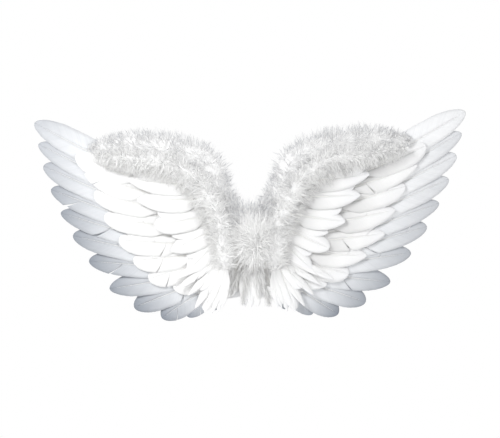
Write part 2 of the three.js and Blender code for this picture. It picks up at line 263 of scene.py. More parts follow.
def weave_group():
    """Ribs along a band and threads across it; the map is in metres along and across the band."""
    group, given, made = new_group(
        "band weave",
        [("Band", "NodeSocketVector", None), ("Ribs", "NodeSocketFloat", 900.0),
         ("Threads", "NodeSocketFloat", 1500.0)],
        [("Height", "NodeSocketFloat"), ("Gaps", "NodeSocketFloat")])
    split = add_node(group, "SeparateXYZ", {0: given.outputs["Band"]})
    along = maths(group, "MULTIPLY", split.outputs["X"], given.outputs["Threads"])
    across = maths(group, "MULTIPLY", split.outputs["Y"], given.outputs["Ribs"])
    rib = maths(group, "ABSOLUTE", maths(group, "SINE", maths(group, "MULTIPLY", across, math.pi), 0), 0)
    phase = maths(group, "ADD", along, maths(group, "MULTIPLY", maths(group, "FLOOR", across, 0), 0.5))
    thread = maths(group, "ABSOLUTE", maths(group, "SINE", maths(group, "MULTIPLY", phase, math.pi), 0), 0)
    height = maths(group, "MULTIPLY", rib, maths(group, "ADD", maths(group, "MULTIPLY", thread, 0.6), 0.4))
    feed(group, made.inputs["Height"], height)
    feed(group, made.inputs["Gaps"], maths(group, "SUBTRACT", 1.0, height))
    return group


BARBS = barb_group()
FIBRES = fibre_group()
WEAVE = weave_group()
print("pattern groups:", BARBS.name, "/", FIBRES.name, "/", WEAVE.name)

# %% [markdown]
# A feather's colour is not one white. The vane is thin and of a cool white, every feather of a bought bunch
# differs a little, and faint streaks follow the barbs. Greyer tips are partly the real grey of feather
# tips and partly painted shade, greyer roots are a painted shadow of the down, and the tone ranges set per
# wing and per row paint more of that shade on some feathers. The shade runs along two numbers kept on the
# mesh: how far a point is towards the tip, and the tone drawn for its feather.

# %% Material helpers


def new_material(name, roughness, sheen=0.0, specular=0.4):
    material = bpy.data.materials.new(name)
    material.use_nodes = True
    tree = material.node_tree
    shader = tree.nodes["Principled BSDF"]
    looks = {"Roughness": roughness, "Sheen Weight": sheen, "Specular IOR Level": specular}
    for label, value in looks.items():
        feed(tree, shader.inputs[label], value)
    return material, tree, shader


def attribute(tree, name):
    return add_node(tree, "Attribute", attribute_name=name).outputs["Fac"]


def colour_mix(tree, factor, first, second):
    node = add_node(tree, "Mix", data_type="RGBA")
    for label, value in (("Factor", factor), ("A", first), ("B", second)):
        feed(tree, node.inputs[label], value)
    return node.outputs["Result"]


def ranged(tree, value, low, high, to_low, to_high):
    limits = {"Value": value, "From Min": low, "From Max": high, "To Min": to_low, "To Max": to_high}
    return add_node(tree, "MapRange", limits).outputs["Result"]


def coated(tree, shader, colour, roughness, height, strength, distance):
    """Gives the shader its colour, its roughness and the fine relief of its surface."""
    bump = add_node(tree, "Bump", {"Strength": strength, "Distance": distance, "Height": height})
    looks = {"Base Color": colour, "Roughness": roughness, "Normal": bump.outputs["Normal"]}
    for label, value in looks.items():
        feed(tree, shader.inputs[label], value)


def pattern(tree, group, vector, **numbers):
    return add_node(tree, "Group", {0: vector, **numbers}, node_tree=group).outputs


def band_map(tree, name):
    return add_node(tree, "UVMap", uv_map=name).outputs["UV"]


def own_place(tree):
    return add_node(tree, "TexCoord").outputs["Object"]


# %% Feather, quill and down finishes


def vane_finish(name, dull, bright, tip, root, tip_start, sheen, groove):
    """Painted shade: a feather is dull to bright by its tone, and the lower its tone, the greyer its tip
    and its root.
    """
    material, tree, shader = new_material(name, 0.62, sheen=sheen, specular=0.3)
    lines = pattern(tree, BARBS, band_map(tree, "vane"), Fineness=620.0)
    tone = attribute(tree, "tone")
    along = attribute(tree, "along")
    # painted shade: the lower a feather's tone, the duller its vane and the more grey is painted on its tip
    # and root
    shade_strength = ranged(tree, tone, 0.0, 1.0, 1.0, 0.12)
    towards_tip = ranged(tree, along, tip_start, 1.0, 0.0, 1.0)
    shade = maths(tree, "MULTIPLY", towards_tip, shade_strength)
    colour = colour_mix(tree, shade, colour_mix(tree, tone, dull, bright), tip)
    # painted shadow of the down on the root of each feather
    towards_root = ranged(tree, along, 0.12, 0.62, 0.7, 0.0)
    colour = colour_mix(tree, maths(tree, "MULTIPLY", towards_root, shade_strength), colour, root)
    streak = ranged(tree, lines["Streaks"], 0.4, 0.75, 0.0, groove)
    colour = colour_mix(tree, streak, colour, tip)
    # painted shade in the grooves between the barbs, darker where the bump is lowest
    groove_shade = ranged(tree, lines["Lines"], 0.3, 0.5, groove, 0.0)
    colour = colour_mix(tree, groove_shade, colour, tuple(0.8 * v for v in tip))
    roughness = ranged(tree, lines["Streaks"], 0.3, 0.7, 0.52, 0.74)
    coated(tree, shader, colour, roughness, lines["Lines"], 0.4, 0.0003)
    return material


def quill_finish():
    material, tree, shader = new_material("ivory quill", 0.35, specular=0.5)
    lines = pattern(tree, BARBS, band_map(tree, "vane"), Fineness=60.0)
    colour = colour_mix(tree, attribute(tree, "along"), (0.93, 0.92, 0.88), (0.96, 0.96, 0.95))
    streak = ranged(tree, lines["Streaks"], 0.4, 0.7, 0.0, 0.3)
    colour = colour_mix(tree, streak, colour, (0.88, 0.87, 0.83))
    coated(tree, shader, colour, 0.35, lines["Lines"], 0.2, 0.0002)
    return material


# Painted glow: every down finish gives off a faint light of its own colour.
PAINTED_DOWN_GLOW = 0.09       # light that has passed from fibre to fibre, which few bounces of a renderer reach


def down_finish(name, root, tip, grey=(0.62, 0.62, 0.63), tip_start=0.65, glow=PAINTED_DOWN_GLOW):
    material, tree, shader = new_material(name, 0.9, sheen=0.35, specular=0.1)
    lines = pattern(tree, BARBS, band_map(tree, "vane"), Fineness=30.0)
    colour = colour_mix(tree, ranged(tree, attribute(tree, "along"), tip_start, 1.0, 0.0, 1.0), root, tip)
    # partly random grey hairs and partly painted shade: the higher a hair's tone, the greyer it is
    colour = colour_mix(tree, ranged(tree, attribute(tree, "tone"), 0.5, 0.95, 0.0, 0.75), colour, grey)
    roughness = ranged(tree, lines["Streaks"], 0.3, 0.7, 0.8, 0.98)
    coated(tree, shader, colour, roughness, lines["Lines"], 0.4, 0.0008)
    # painted glow of the down
    feed(tree, shader.inputs["Emission Color"], colour)
    feed(tree, shader.inputs["Emission Strength"], glow)
    return material


# The tip and root colours, third and fourth, are grey for painted shade, the tip partly the real grey of
# feather tips; the front vane's dark root is a painted shadow of the down.
OUTER_VANE = vane_finish("cool outer vane", (0.84, 0.86, 0.885), (0.97, 0.975, 0.985), (0.24, 0.265, 0.31),
                         (0.7, 0.72, 0.75), 0.38, 0.1, 0.08)
FRONT_VANE = vane_finish("clean front vane", (0.94, 0.94, 0.935), (0.97, 0.97, 0.965), (0.88, 0.885, 0.9),
                         (0.5, 0.5, 0.505), 0.5, 0.15, 0.08)
QUILL = quill_finish()
EDGE_DOWN = down_finish("marabou with grey ends", (0.98, 0.98, 0.98), (0.2, 0.22, 0.26), tip_start=0.64)
# painted shade: the core of the down is a little grey, so that it looks as shaded as the hairs around it
CORE_DOWN = down_finish("crowded roots of the down", (0.91, 0.91, 0.91), (0.91, 0.91, 0.91))
WHITE_DOWN = down_finish("white marabou", (0.99, 0.99, 0.985), (0.96, 0.96, 0.96))
# the centre tuft gets a stronger painted glow, to lift it out of the shade of the key lamp
TUFT_DOWN = down_finish("centre marabou with stronger painted glow", (0.99, 0.99, 0.985), (0.97, 0.97, 0.97), glow=0.13)
TAIL_DOWN = down_finish("shaded tail down", (0.93, 0.93, 0.92), (0.55, 0.55, 0.56), grey=(0.4, 0.4, 0.41))
print("feather finishes ready")

# %% Felt, board, wire, tape and elastic finishes


def felt_finish():
    material, tree, shader = new_material("white needle felt", 0.95, sheen=0.3, specular=0.15)
    mat = pattern(tree, FIBRES, own_place(tree), Size=700.0)
    light = ranged(tree, mat["Fibres"], 0.45, 0.75, 0.0, 1.0)
    colour = colour_mix(tree, light, (0.78, 0.77, 0.75), (0.93, 0.925, 0.91))
    colour = colour_mix(tree, ranged(tree, mat["Clouds"], 0.35, 0.7, 0.0, 0.3), colour, (0.8, 0.8, 0.8))
    roughness = ranged(tree, mat["Clouds"], 0.3, 0.7, 0.88, 1.0)
    coated(tree, shader, colour, roughness, mat["Fibres"], 0.7, 0.0006)
    return material


def board_finish():
    material, tree, shader = new_material("stiff grey board", 0.85, specular=0.2)
    mat = pattern(tree, FIBRES, own_place(tree), Size=400.0)
    light = ranged(tree, mat["Fibres"], 0.4, 0.8, 0.0, 1.0)
    colour = colour_mix(tree, light, (0.6, 0.57, 0.5), (0.74, 0.71, 0.64))
    coated(tree, shader, colour, 0.85, mat["Fibres"], 0.3, 0.0002)
    return material


def wire_finish():
    material, tree, shader = new_material("drawn steel wire", 0.35)
    feed(tree, shader.inputs["Metallic"], 1.0)
    mat = pattern(tree, FIBRES, own_place(tree), Size=260.0)
    dull = ranged(tree, mat["Clouds"], 0.35, 0.7, 0.0, 1.0)
    colour = colour_mix(tree, dull, (0.6, 0.61, 0.62), (0.42, 0.41, 0.4))
    roughness = ranged(tree, mat["Fibres"], 0.4, 0.8, 0.28, 0.5)
    coated(tree, shader, colour, roughness, mat["Fibres"], 0.15, 0.0001)
    return material


def woven_finish(name, thread, gap, roughness, map_name, ribs, threads):
    material, tree, shader = new_material(name, roughness, sheen=0.2, specular=0.2)
    place = band_map(tree, map_name) if map_name else own_place(tree)
    weave = pattern(tree, WEAVE, place, Ribs=ribs, Threads=threads)
    cloud = stretched_noise(tree, place, 60.0, (1, 1, 1), 3)
    # painted shade in the gaps between the threads, darker where the weave is lowest; the clouds below use
    # the same grey as the cloth's own tone
    colour = colour_mix(tree, ranged(tree, weave["Gaps"], 0.35, 0.95, 0.0, 1.0), thread, gap)
    colour = colour_mix(tree, ranged(tree, cloud, 0.4, 0.7, 0.0, 0.2), colour, gap)
    in_gaps = ranged(tree, weave["Gaps"], 0.0, 1.0, roughness - 0.1, 1.0)
    coated(tree, shader, colour, in_gaps, weave["Height"], 0.8, 0.0004)
    return material


FELT = felt_finish()
BOARD = board_finish()
WIRE = wire_finish()
TAPE = woven_finish(
    "cream cloth tape", (0.84, 0.81, 0.72), (0.66, 0.62, 0.52), 0.7, None, ribs=1400.0, threads=1400.0)
ELASTIC = woven_finish(
    "white woven elastic", (0.93, 0.93, 0.93), (0.62, 0.63, 0.65), 0.85, "band", ribs=900.0, threads=700.0)
THREAD = woven_finish(
    "white sewing thread", (0.95, 0.95, 0.93), (0.7, 0.7, 0.68), 0.6, "band", ribs=2500.0, threads=1800.0)

for node_name, node in frame["nodes"].items():
    for word, finish in (("card", BOARD), ("tape", TAPE), ("wire", WIRE)):
        if word in node_name:
            for face_slot in node.material_slots:
                face_slot.material = finish
            break
print("frame nodes that stay have wire, tape and board finishes")

# %% [markdown]
# All soft pieces are meshes made from arrays of points: one array of corners, a few arrays of faces, and
# numbers kept on the points for the materials to read. One function turns those arrays into an object and
# gives it its finish; the code that calls it ties most pieces to the part of the frame that carries them.

# %% Making a piece from arrays


def new_piece(name, points, faces, material, maps=None, numbers=None, second=None):
    """faces is a list of arrays, each of triangles or of quads. maps and numbers hold one row per point."""
    mesh = bpy.data.meshes.new(name)
    corners = np.concatenate([f.ravel() for f in faces]).astype(np.int32)
    sizes = np.concatenate([np.full(len(f), f.shape[1]) for f in faces])
    starts = np.concatenate([[0], np.cumsum(sizes)[:-1]]).astype(np.int32)
    mesh.vertices.add(len(points))
    mesh.vertices.foreach_set("co", np.asarray(points, np.float32).ravel())
    mesh.loops.add(len(corners))
    mesh.loops.foreach_set("vertex_index", corners)
    mesh.polygons.add(len(sizes))
    mesh.polygons.foreach_set("loop_start", starts)
    mesh.update(calc_edges=True)
    mesh.polygons.foreach_set("use_smooth", np.ones(len(sizes), bool))
    for label, rows in (maps or {}).items():
        layer = mesh.uv_layers.new(name=label)
        layer.uv.foreach_set("vector", np.asarray(rows, np.float32)[corners].ravel())
    for label, row in (numbers or {}).items():
        mesh.attributes.new(label, "FLOAT", "POINT").data.foreach_set("value", np.asarray(row, np.float32))
    mesh.materials.append(material)
    if second:
        mesh.materials.append(second[0])
        mesh.polygons.foreach_set("material_index", second[1].astype(np.int32))
    mesh.update()
    piece = bpy.data.objects.new(name, mesh)
    bpy.context.scene.collection.objects.link(piece)
    return piece


def closed_grid(top, bottom, flip):
    """A thin closed plate between two grids of points: its points and its quads."""
    rows, columns = top.shape[:2]
    upper = np.arange(rows * columns).reshape(rows, columns)
    lower = upper + rows * columns

    def cells(grid):
        return np.stack([grid[:-1, :-1], grid[1:, :-1], grid[1:, 1:], grid[:-1, 1:]], -1).reshape(-1, 4)

    ring = np.concatenate([upper[:, 0], upper[-1, 1:], upper[-2::-1, -1], upper[0, -2:0:-1]])
    following = np.roll(ring, -1)
    drop = rows * columns
    rim = np.stack([following, ring, ring + drop, following + drop], -1)
    quads = np.concatenate([cells(upper), cells(lower)[:, ::-1], rim])
    points = np.concatenate([top.reshape(-1, 3), bottom.reshape(-1, 3)])
    return points, quads[:, ::-1] if flip else quads


def mirrored(points, faces):
    return points * np.array([-1, 1, 1]), [f[:, ::-1] for f in faces]


def unit_rows(rows):
    return rows / np.linalg.norm(rows, axis=1)[:, None]


def smooth_line(points, shares):
    """Points at the given shares (0 to 1) of a smooth curve through a few chosen points."""
    knots = np.asarray(points, float)
    before = 2 * knots[0] - knots[1]
    after = 2 * knots[-1] - knots[-2]
    padded = np.vstack([before, knots, after])
    place = np.clip(np.asarray(shares, float), 0, 1) * (len(knots) - 1)
    i = np.minimum(place.astype(int), len(knots) - 2)
    t = (place - i)[:, None]
    a, b, c, d = padded[i], padded[i + 1], padded[i + 2], padded[i + 3]
    return 0.5 * (2 * b + (c - a) * t + (2 * a - 5 * b + 4 * c - d) * t**2 + (3 * b - a - 3 * c + d) * t**3)


def on_wing(points, side):
    """Points given as shares of a wing's reach and height, in metres in the right wing's X-Z plane."""
    shares = np.asarray(points, float)
    inner = fold_x + 8 * MM
    x = inner + shares[:, 0] * (wing_reach - inner)
    lean = WING_LEAN * SIDES[side]
    return np.stack([x, np.zeros(len(x)), shares[:, 1] * wing_height + lean * (x - fold_x)], 1)


print("piece helpers ready")

# %% [markdown]
# One feather. A real vane is two rows of barbs hooked together, set on a tapering shaft; when the hooks
# let go the vane splits in a slanting notch. The vane is built the same way: each column of points is one
# barb, swept forwards from the shaft to the outline, and a few columns are pushed apart to open splits. A
# flat leaf shape would be lighter, but its edge and its cup would look like paper.

# %% One feather
VANE_THICK = 0.25 * MM
BARB_COLUMNS = 46
BARB_ROWS = 5
BARE_QUILL = 0.05          # share of the length without barbs
SHAFT_RINGS = 16
SHAFT_SIDES = 6


def vane_outline(xi, pointed):
    """Half width, from 0 to 1, along the vane: a narrow base, a full middle and a round or pointed end."""
    rise = np.clip(xi / 0.34, 0, 1)
    rise = 0.3 + 0.7 * rise * rise * (3 - 2 * rise)
    round_end = np.sqrt(np.clip(1 - (np.clip(xi - 0.66, 0, 1) / 0.34) ** 2, 0, 1))
    sharp_end = np.clip(1 - (np.clip(xi - 0.45, 0, 1) / 0.55) ** 1.9, 0, 1)
    return rise * ((1 - pointed) * round_end + pointed * sharp_end)


def tube_walls(rings, sides):
    """The faces between the rings of a tube."""
    ring = np.arange(rings * sides).reshape(rings, sides)
    nxt = np.roll(ring, -1, 1)
    return np.stack([ring[:-1], nxt[:-1], nxt[1:], ring[1:]], -1).reshape(-1, 4)


def feather_arrays(length, width, rng, pointed=0.1, camber=0.2, sweep=0.03, lift=0.03, splits=2):
    """One feather along +X, front towards +Z: points, quads, vane map, along, how many vane faces."""
    half = width / 2
    bare = BARE_QUILL * length
    u = np.linspace(0, 1, BARB_COLUMNS)
    start = bare + (length * 0.98 - bare) * u
    end = bare + (length - bare) * (1 - (1 - u) ** 1.4)
    outline = half * vane_outline((end - bare) / (length - bare), pointed)
    v = np.linspace(0, 1, BARB_ROWS)

    def shaft(x):
        share = x / length
        return sweep * length * share**2, lift * length * share**2.2

    points, quads, vane, along, count = [], [], [], [], 0
    for side in (1, -1):
        reach = outline * (1 + 0.08 * side) * (1 + rng.normal(0, 0.008, BARB_COLUMNS))
        torn = rng.integers(0, splits + 1)
        stations = np.sort(rng.choice(np.arange(12, BARB_COLUMNS - 8), size=torn, replace=False))
        stations = stations[np.concatenate([[True], np.diff(stations) > 3])] if torn else stations
        bounds = [0, *stations.tolist(), BARB_COLUMNS - 1]
        gaps = [0, *rng.uniform(0.005, 0.02, len(stations)).tolist(), 0]
        for k in range(len(bounds) - 1):
            i = np.arange(bounds[k], bounds[k + 1] + 1)
            from_start = gaps[k] * np.exp(-(i - bounds[k]) / 2.5)
            from_end = gaps[k + 1] * np.exp(-(bounds[k + 1] - i) / 2.5)
            push = length * (from_start - from_end)
            x = start[i, None] + (end[i] - start[i])[:, None] * v**1.3 + push[:, None] * v**2.2
            base_y, base_z = shaft(x)
            y = base_y + side * reach[i, None] * v**0.94
            curl = camber * half * (reach[i, None] / half) * v**2
            z = base_z - curl + rng.uniform(-0.25, 0.25) * MM * v
            middle = np.stack([x, y, z], -1)
            shell = np.array([0, 0, VANE_THICK / 2])
            solid, cells = closed_grid(middle + shell, middle - shell, flip=side < 0)
            points.append(solid)
            quads.append(cells + count)
            count += len(solid)
            mapped = np.stack([np.repeat(start[i], BARB_ROWS), np.tile(side * v * half, len(i))], 1)
            vane.append(np.tile(mapped, (2, 1)))
            along.append(np.tile(x.ravel() / length, 2))
    vane_faces = sum(len(q) for q in quads)
    stations = np.linspace(0, 0.97 * length, SHAFT_RINGS)
    y, z = shaft(stations)
    angles = np.arange(SHAFT_SIDES) * 2 * math.pi / SHAFT_SIDES
    radius = (0.016 * width * (1 - 0.86 * stations / length))[:, None]
    rod = np.stack([
        np.repeat(stations[:, None], SHAFT_SIDES, 1),
        y[:, None] + radius * np.cos(angles),
        z[:, None] + 0.3 * radius + 0.8 * radius * np.sin(angles),
    ], -1)
    walls = tube_walls(SHAFT_RINGS, SHAFT_SIDES)
    caps = np.array([[0, 5, 4, 3], [0, 3, 2, 1]])
    far = np.array([[0, 1, 2, 3], [0, 3, 4, 5]]) + (SHAFT_RINGS - 1) * SHAFT_SIDES
    quads.append(np.concatenate([walls, caps, far]) + count)
    points.append(rod.reshape(-1, 3))
    vane.append(np.stack([np.repeat(stations, SHAFT_SIDES), np.zeros(SHAFT_RINGS * SHAFT_SIDES)], 1))
    along.append(np.repeat(stations / length, SHAFT_SIDES))
    return (*(np.concatenate(rows) for rows in (points, quads, vane, along)), vane_faces)


def laid(points, root, tip, front):
    """Turns a feather made along +X so that it runs from root to tip with its front face along front."""
    along = (tip - root) / np.linalg.norm(tip - root)
    front = front - along * np.dot(front, along)
    front = front / np.linalg.norm(front)
    across = np.cross(front, along)
    return root + points @ np.stack([along, across, front])


def feather_piece(name, feathers, side, material, body, tones=(0.0, 1.0)):
    """One object of one or more feathers. Each is (root, tip, front, width, seed, options)."""
    points, quads, vane, along, tone, quill, count = [], [], [], [], [], [], 0
    for root, tip, front, width, seed, options in feathers:
        rng = np.random.default_rng(seed)
        length = np.linalg.norm(tip - root)
        made, cells, mapped, share, vane_faces = feather_arrays(length, width, rng, **options)
        points.append(laid(made, root, tip, front))
        quads.append(cells + count)
        vane.append(mapped + seed % 97)
        along.append(share)
        tone.append(np.full(len(made), rng.uniform(*tones)))
        quill.append(np.arange(len(cells)) >= vane_faces)
        count += len(made)
    points, faces = np.concatenate(points), [np.concatenate(quads)]
    if side == "left":
        points, faces = mirrored(points, faces)
    piece = new_piece(
        name, points, faces, material, {"vane": np.concatenate(vane)},
        {"along": np.concatenate(along), "tone": np.concatenate(tone)}, (QUILL, np.concatenate(quill)))
    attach(piece, body)
    return piece


print("feather maker ready:", BARB_COLUMNS, "barb columns on each side of a shaft")

# %% [markdown]
# The outer feathers are the long ones that make the rim of the wing. Each one is a piece of its own in
# the frame, so its axis, width and tilt are read from there, and the finished feather is laid exactly on
# it.

# %% Outer feathers
OUTER_COUNT = 12


def node_points(node_name):
    return np.array([v.co for v in frame["nodes"][node_name].data.vertices], float)


def flat_axes(node_name, side):
    """Root, tip, front direction and width of a flat feather in the frame, as seen on the right wing."""
    co = node_points(node_name)
    co[:, 0] *= SIDES[side]
    middle = co.mean(0)
    axes = np.linalg.svd(co - middle, full_matrices=False)[2]
    along = axes[0] * (1 if axes[0][0] > 0 else -1)
    front = axes[2] * (1 if axes[2][1] < 0 else -1)
    across = np.cross(front, along)
    reach = (co - middle) @ along
    spread = (co - middle) @ across
    centre = middle + across * (spread.max() + spread.min()) / 2
    return centre + along * reach.min(), centre + along * reach.max(), front, spread.max() - spread.min()


def outer_tones_with_painted_shade(side, number):
    """Top feathers stay pale; the lower ones have greyer tips and duller vanes, and the left wing has more
    of them: partly the real grey of feather tips, partly painted shade.
    """
    middle = max(0.03, (1.0 if side == "right" else 0.6) - 0.095 * number)
    return (middle - 0.05, middle + 0.1)


for side in SIDES:
    for number in range(1, OUTER_COUNT + 1):
        node_name = f"{side}_primary_feather_{number:02d}"
        root, tip, front, width = flat_axes(node_name, side)
        pointed = 0.12 + 0.1 * (number % 3)
        splits = 1 if number > 3 else 0
        options = dict(pointed=pointed, camber=0.2, sweep=0.025, lift=-0.02, splits=splits)
        seed = 100 * number + LEFT_SEED[side]
        long_feather = feather_piece(
            f"{side}_outer_feather_{number:02d}", [(root, tip, front, width, seed, options)], side,
            OUTER_VANE, f"{side}_wing", tones=outer_tones_with_painted_shade(side, number))
        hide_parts(node_name)
print(len(SIDES) * OUTER_COUNT, "outer feathers laid on the frame")

# %% [markdown]
# The middle row and the covert row are feathers sewn side by side on a tape, so each row is one piece. A
# second, shorter line of feathers lies under each row and fills the gaps, as it does when a fringe is
# folded double, and slender hackles fan out below the lowest coverts. Each feather is tilted like a roof
# tile, lower edge outwards, so that none cuts its neighbour.

# %% Middle row and covert row
MIDDLE_TIPS = [(0.792, 0.49), (0.688, 0.3), (0.569, 0.076), (0.398, -0.11), (0.134, -0.19)]
MIDDLE_ROOTS = [(0.431, 0.369), (0.305, 0.224), (0.197, 0.059), (0.097, -0.021), (0.041, -0.08)]
COVERT_TIPS = [(0.498, 0.428), (0.494, 0.328), (0.387, 0.165), (0.268, -0.003), (0.152, -0.13),
               (0.108, -0.262)]
COVERT_ROOTS = [(0.208, 0.39), (0.156, 0.32), (0.14, 0.2), (0.075, 0.105), (0.041, 0.03), (0.034, -0.05)]
HACKLE_TIPS = [(0.3, -0.13), (0.215, -0.19), (0.13, -0.265), (0.06, -0.27), (0.02, -0.25)]
HACKLE_ROOTS = [(0.02, 0.02), (0.012, 0.0), (0.008, -0.02), (0.004, -0.04), (0.0, -0.06)]
TILE_TILT = math.radians(13)
TIP_BACK = 0.012           # the tips lie back by this share of the length
# painted shade: the right wing's rows get low tones, so duller vanes and greyer tips and roots than the
# left wing's rows
ROW_TONES_WITH_PAINTED_SHADE = {"right": (0.0, 0.35), "left": (0.6, 1.0)}

MIDDLE = dict(tips=MIDDLE_TIPS, roots=MIDDLE_ROOTS)
COVERT = dict(tips=COVERT_TIPS, roots=COVERT_ROOTS, slim=0.45)
HACKLE = dict(tips=HACKLE_TIPS, roots=HACKLE_ROOTS)
MIDDLE_ROW = [
    dict(MIDDLE, count=9, behind=0, width=40 * MM, seed=3000, camber=0.28, lift=-0.01, splits=1),
    dict(MIDDLE, count=8, behind=2.2 * MM, width=34 * MM, seed=3500, shorten=0.2, offset=0.5, camber=0.18,
         lift=-0.02, splits=0),
]
COVERT_ROW = [
    dict(COVERT, count=8, behind=0, width=39 * MM, seed=4000, extra=14 * MM, camber=0.3, lift=0.01,
         splits=0),
    dict(COVERT, count=7, behind=2.6 * MM, width=34 * MM, seed=4500, shorten=0.22, offset=0.5,
         extra=12 * MM, camber=0.2, lift=0.0, splits=0),
    dict(HACKLE, count=8, behind=0.6 * MM, width=13 * MM, seed=4800, pointed=0.6, camber=0.25, lift=0.03,
         splits=2),
]
ROWS = {"middle": (1.8 * MM, MIDDLE_ROW), "covert": (6.4 * MM, COVERT_ROW)}     # how far forward, lines


def row_feathers(side, tips, roots, count, y, width, seed, shorten=0.0, offset=0.0, pointed=0.1, extra=0.0,
                 slim=0.0, **options):
    """One line of feathers: tips and roots are two curves, and the feathers run from one to the other."""
    shares = (np.arange(count) + offset) / (count - 1 + 2 * offset)
    tip_points = on_wing(smooth_line(tips, shares), side)
    root_points = on_wing(smooth_line(roots, shares), side)
    rng = np.random.default_rng(seed)
    feathers = []
    for i in range(count):
        root, tip = root_points[i].copy(), tip_points[i].copy()
        tip += (root - tip) * (shorten + rng.uniform(-0.03, 0.03))
        root -= (tip - root) * extra / np.linalg.norm(tip - root)
        length = np.linalg.norm(tip - root)
        root[1] = y
        tip[1] = y + TIP_BACK * length
        along = (tip - root) / length
        forward = np.array([0, -1.0, 0])
        front = forward * math.cos(TILE_TILT) + np.cross(forward, along) * math.sin(TILE_TILT)
        full = min(width, 0.5 * length + 8 * MM) * (1 - slim * shares[i] ** 2)
        choice = dict(options, pointed=pointed + (0.6 if rng.uniform() < 0.3 else 0.0))
        feathers.append((root, tip, front, full * rng.uniform(0.94, 1.04), seed + 7 * i, choice))
    return feathers


def in_front_of(node_name, forward):
    """The y that is this far in front of the middle of a node."""
    low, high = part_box(node_name)
    return (low[1] + high[1]) / 2 - forward


for side in SIDES:
    for row_name, (forward, lines) in ROWS.items():
        node_name = f"{side}_{row_name}_feather_row"
        feathers = []
        for line in lines:
            values = dict(line)
            y = in_front_of(node_name, forward) + values.pop("behind")
            seed = values.pop("seed") + LEFT_SEED[side]
            feathers += row_feathers(side, y=y, seed=seed, **values)
        row = feather_piece(
            f"{side}_{row_name}_row", feathers, side, FRONT_VANE, f"{side}_wing", tones=ROW_TONES_WITH_PAINTED_SHADE[side])
        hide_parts(node_name)
        print(side, row_name, "row:", len(feathers), "feathers")

# %% [markdown]
# Marabou is the soft down of a turkey, sewn to a cord so that it stands out all round. Each fibre here is
# a thin closed three-sided hair that tapers to nothing, and several thousand of them make a border.
# Blender's own hair would render faster, but it is not a mesh, so it could not be kept with the model.

# %% Marabou fibres
HAIR_STEPS = 4
DOWN_FRONT = -31 * MM      # the down is pressed back softly in front of this
DOWN_SOFT = 11 * MM
GREY_PATCH = 0.55          # how much neighbouring hairs share one tone


def hair_arrays(roots, ways, lengths, thick, bends, rng, flat=0.4, patches=0.4):
    """Tapering three-sided hairs: points, triangles, map, along and tone. Ways are unit vectors."""
    n = len(roots)
    helper = rng.normal(0, 0.35, (n, 3)) + np.array([0, 1.0, 0])
    one = unit_rows(np.cross(ways, helper))
    two = np.cross(ways, one)
    t = np.arange(HAIR_STEPS) / HAIR_STEPS
    wave = 0.03 * lengths[:, None] * np.sin(t * 5.0 + rng.uniform(0, 6, n)[:, None])
    spine = (roots[:, None] + ways[:, None] * (lengths[:, None] * t)[..., None]
             + bends[:, None] * (t**2)[:, None] + one[:, None] * wave[..., None])
    tips = roots + ways * lengths[:, None] + bends
    radius = (thick[:, None] / 2) * np.array([0.55, 1.0, 0.85, 0.5])
    angles = np.arange(3) * 2 * math.pi / 3
    rings = (spine[:, :, None]
             + one[:, None, None] * (radius[..., None] * np.cos(angles))[..., None]
             + two[:, None, None] * (flat * radius[..., None] * np.sin(angles))[..., None])
    points = np.concatenate([rings.reshape(n, -1, 3), tips[:, None]], 1)
    each = HAIR_STEPS * 3 + 1
    faces = []
    for k in range(HAIR_STEPS - 1):
        for a in range(3):
            b = (a + 1) % 3
            low, high = 3 * k, 3 * k + 3
            faces += [(low + a, low + b, high + b), (low + a, high + b, high + a)]
    last = 3 * (HAIR_STEPS - 1)
    faces += [(last + a, last + (a + 1) % 3, each - 1) for a in range(3)] + [(2, 1, 0)]
    triangles = (np.array(faces)[None] + (np.arange(n) * each)[:, None, None]).reshape(-1, 3)
    along = np.tile(np.append(np.repeat(t, 3), 1.0), n)
    tone = np.repeat((1 - GREY_PATCH) * rng.uniform(size=n) + GREY_PATCH * patches, each)
    mapped = np.stack([along, tone * 40], 1)
    return points.reshape(-1, 3), triangles, mapped, along, tone


def over_fold(piece, side):
    """Bakes the piece's place into its points and ties it to no body, neither the centre nor the wing."""
    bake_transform(piece)


def on_the_wing(piece, side):
    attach(piece, f"{side}_wing")


def hair_piece(name, hairs, material, side, mirror=True, carry=over_fold):
    """One object of hairs. They are made for the right wing, and mirrored for the left one."""
    points, triangles, mapped, along, tone = hairs
    ahead = np.minimum(points[:, 1] - DOWN_FRONT, 0)
    points[:, 1] = np.maximum(points[:, 1], DOWN_FRONT) + DOWN_SOFT * np.tanh(ahead / DOWN_SOFT)
    faces = [triangles]
    if side == "left" and mirror:
        points, faces = mirrored(points, faces)
    piece = new_piece(name, points, faces, material, {"vane": mapped}, {"along": along, "tone": tone})
    carry(piece, side)
    return piece


def halves(hairs):
    """Splits a bundle of hairs that grows over the centre into its right and left half."""
    points, triangles, mapped, along, tone = hairs
    each = HAIR_STEPS * 3 + 1
    right = points[::each, 0] >= 0
    for side, keep in (("right", right), ("left", ~right)):
        rows = np.repeat(keep, each)
        renumbered = np.cumsum(rows) - 1
        faces = triangles[np.repeat(keep, len(triangles) // len(keep))]
        yield side, (points[rows], renumbered[faces], mapped[rows], along[rows], tone[rows])


def length_along(line):
    """How long a line of points is, from its start up to each point."""
    return np.concatenate([[0], np.cumsum(np.linalg.norm(np.diff(line, axis=0), axis=1))])


def values_at(places, length, values):
    """Rows of three values read off between the points of a line."""
    return np.stack([np.interp(places, length, values[:, k]) for k in range(3)], 1)


def even_points(line, side, shares):
    """Points at these shares of a line on the wing, and the direction of the line there."""
    dense = on_wing(smooth_line(line, np.linspace(0, 1, 400)), side)
    length = length_along(dense)
    places = shares * length[-1]
    ahead = values_at(places, length, np.gradient(dense, axis=0))
    return values_at(places, length, dense), unit_rows(ahead)


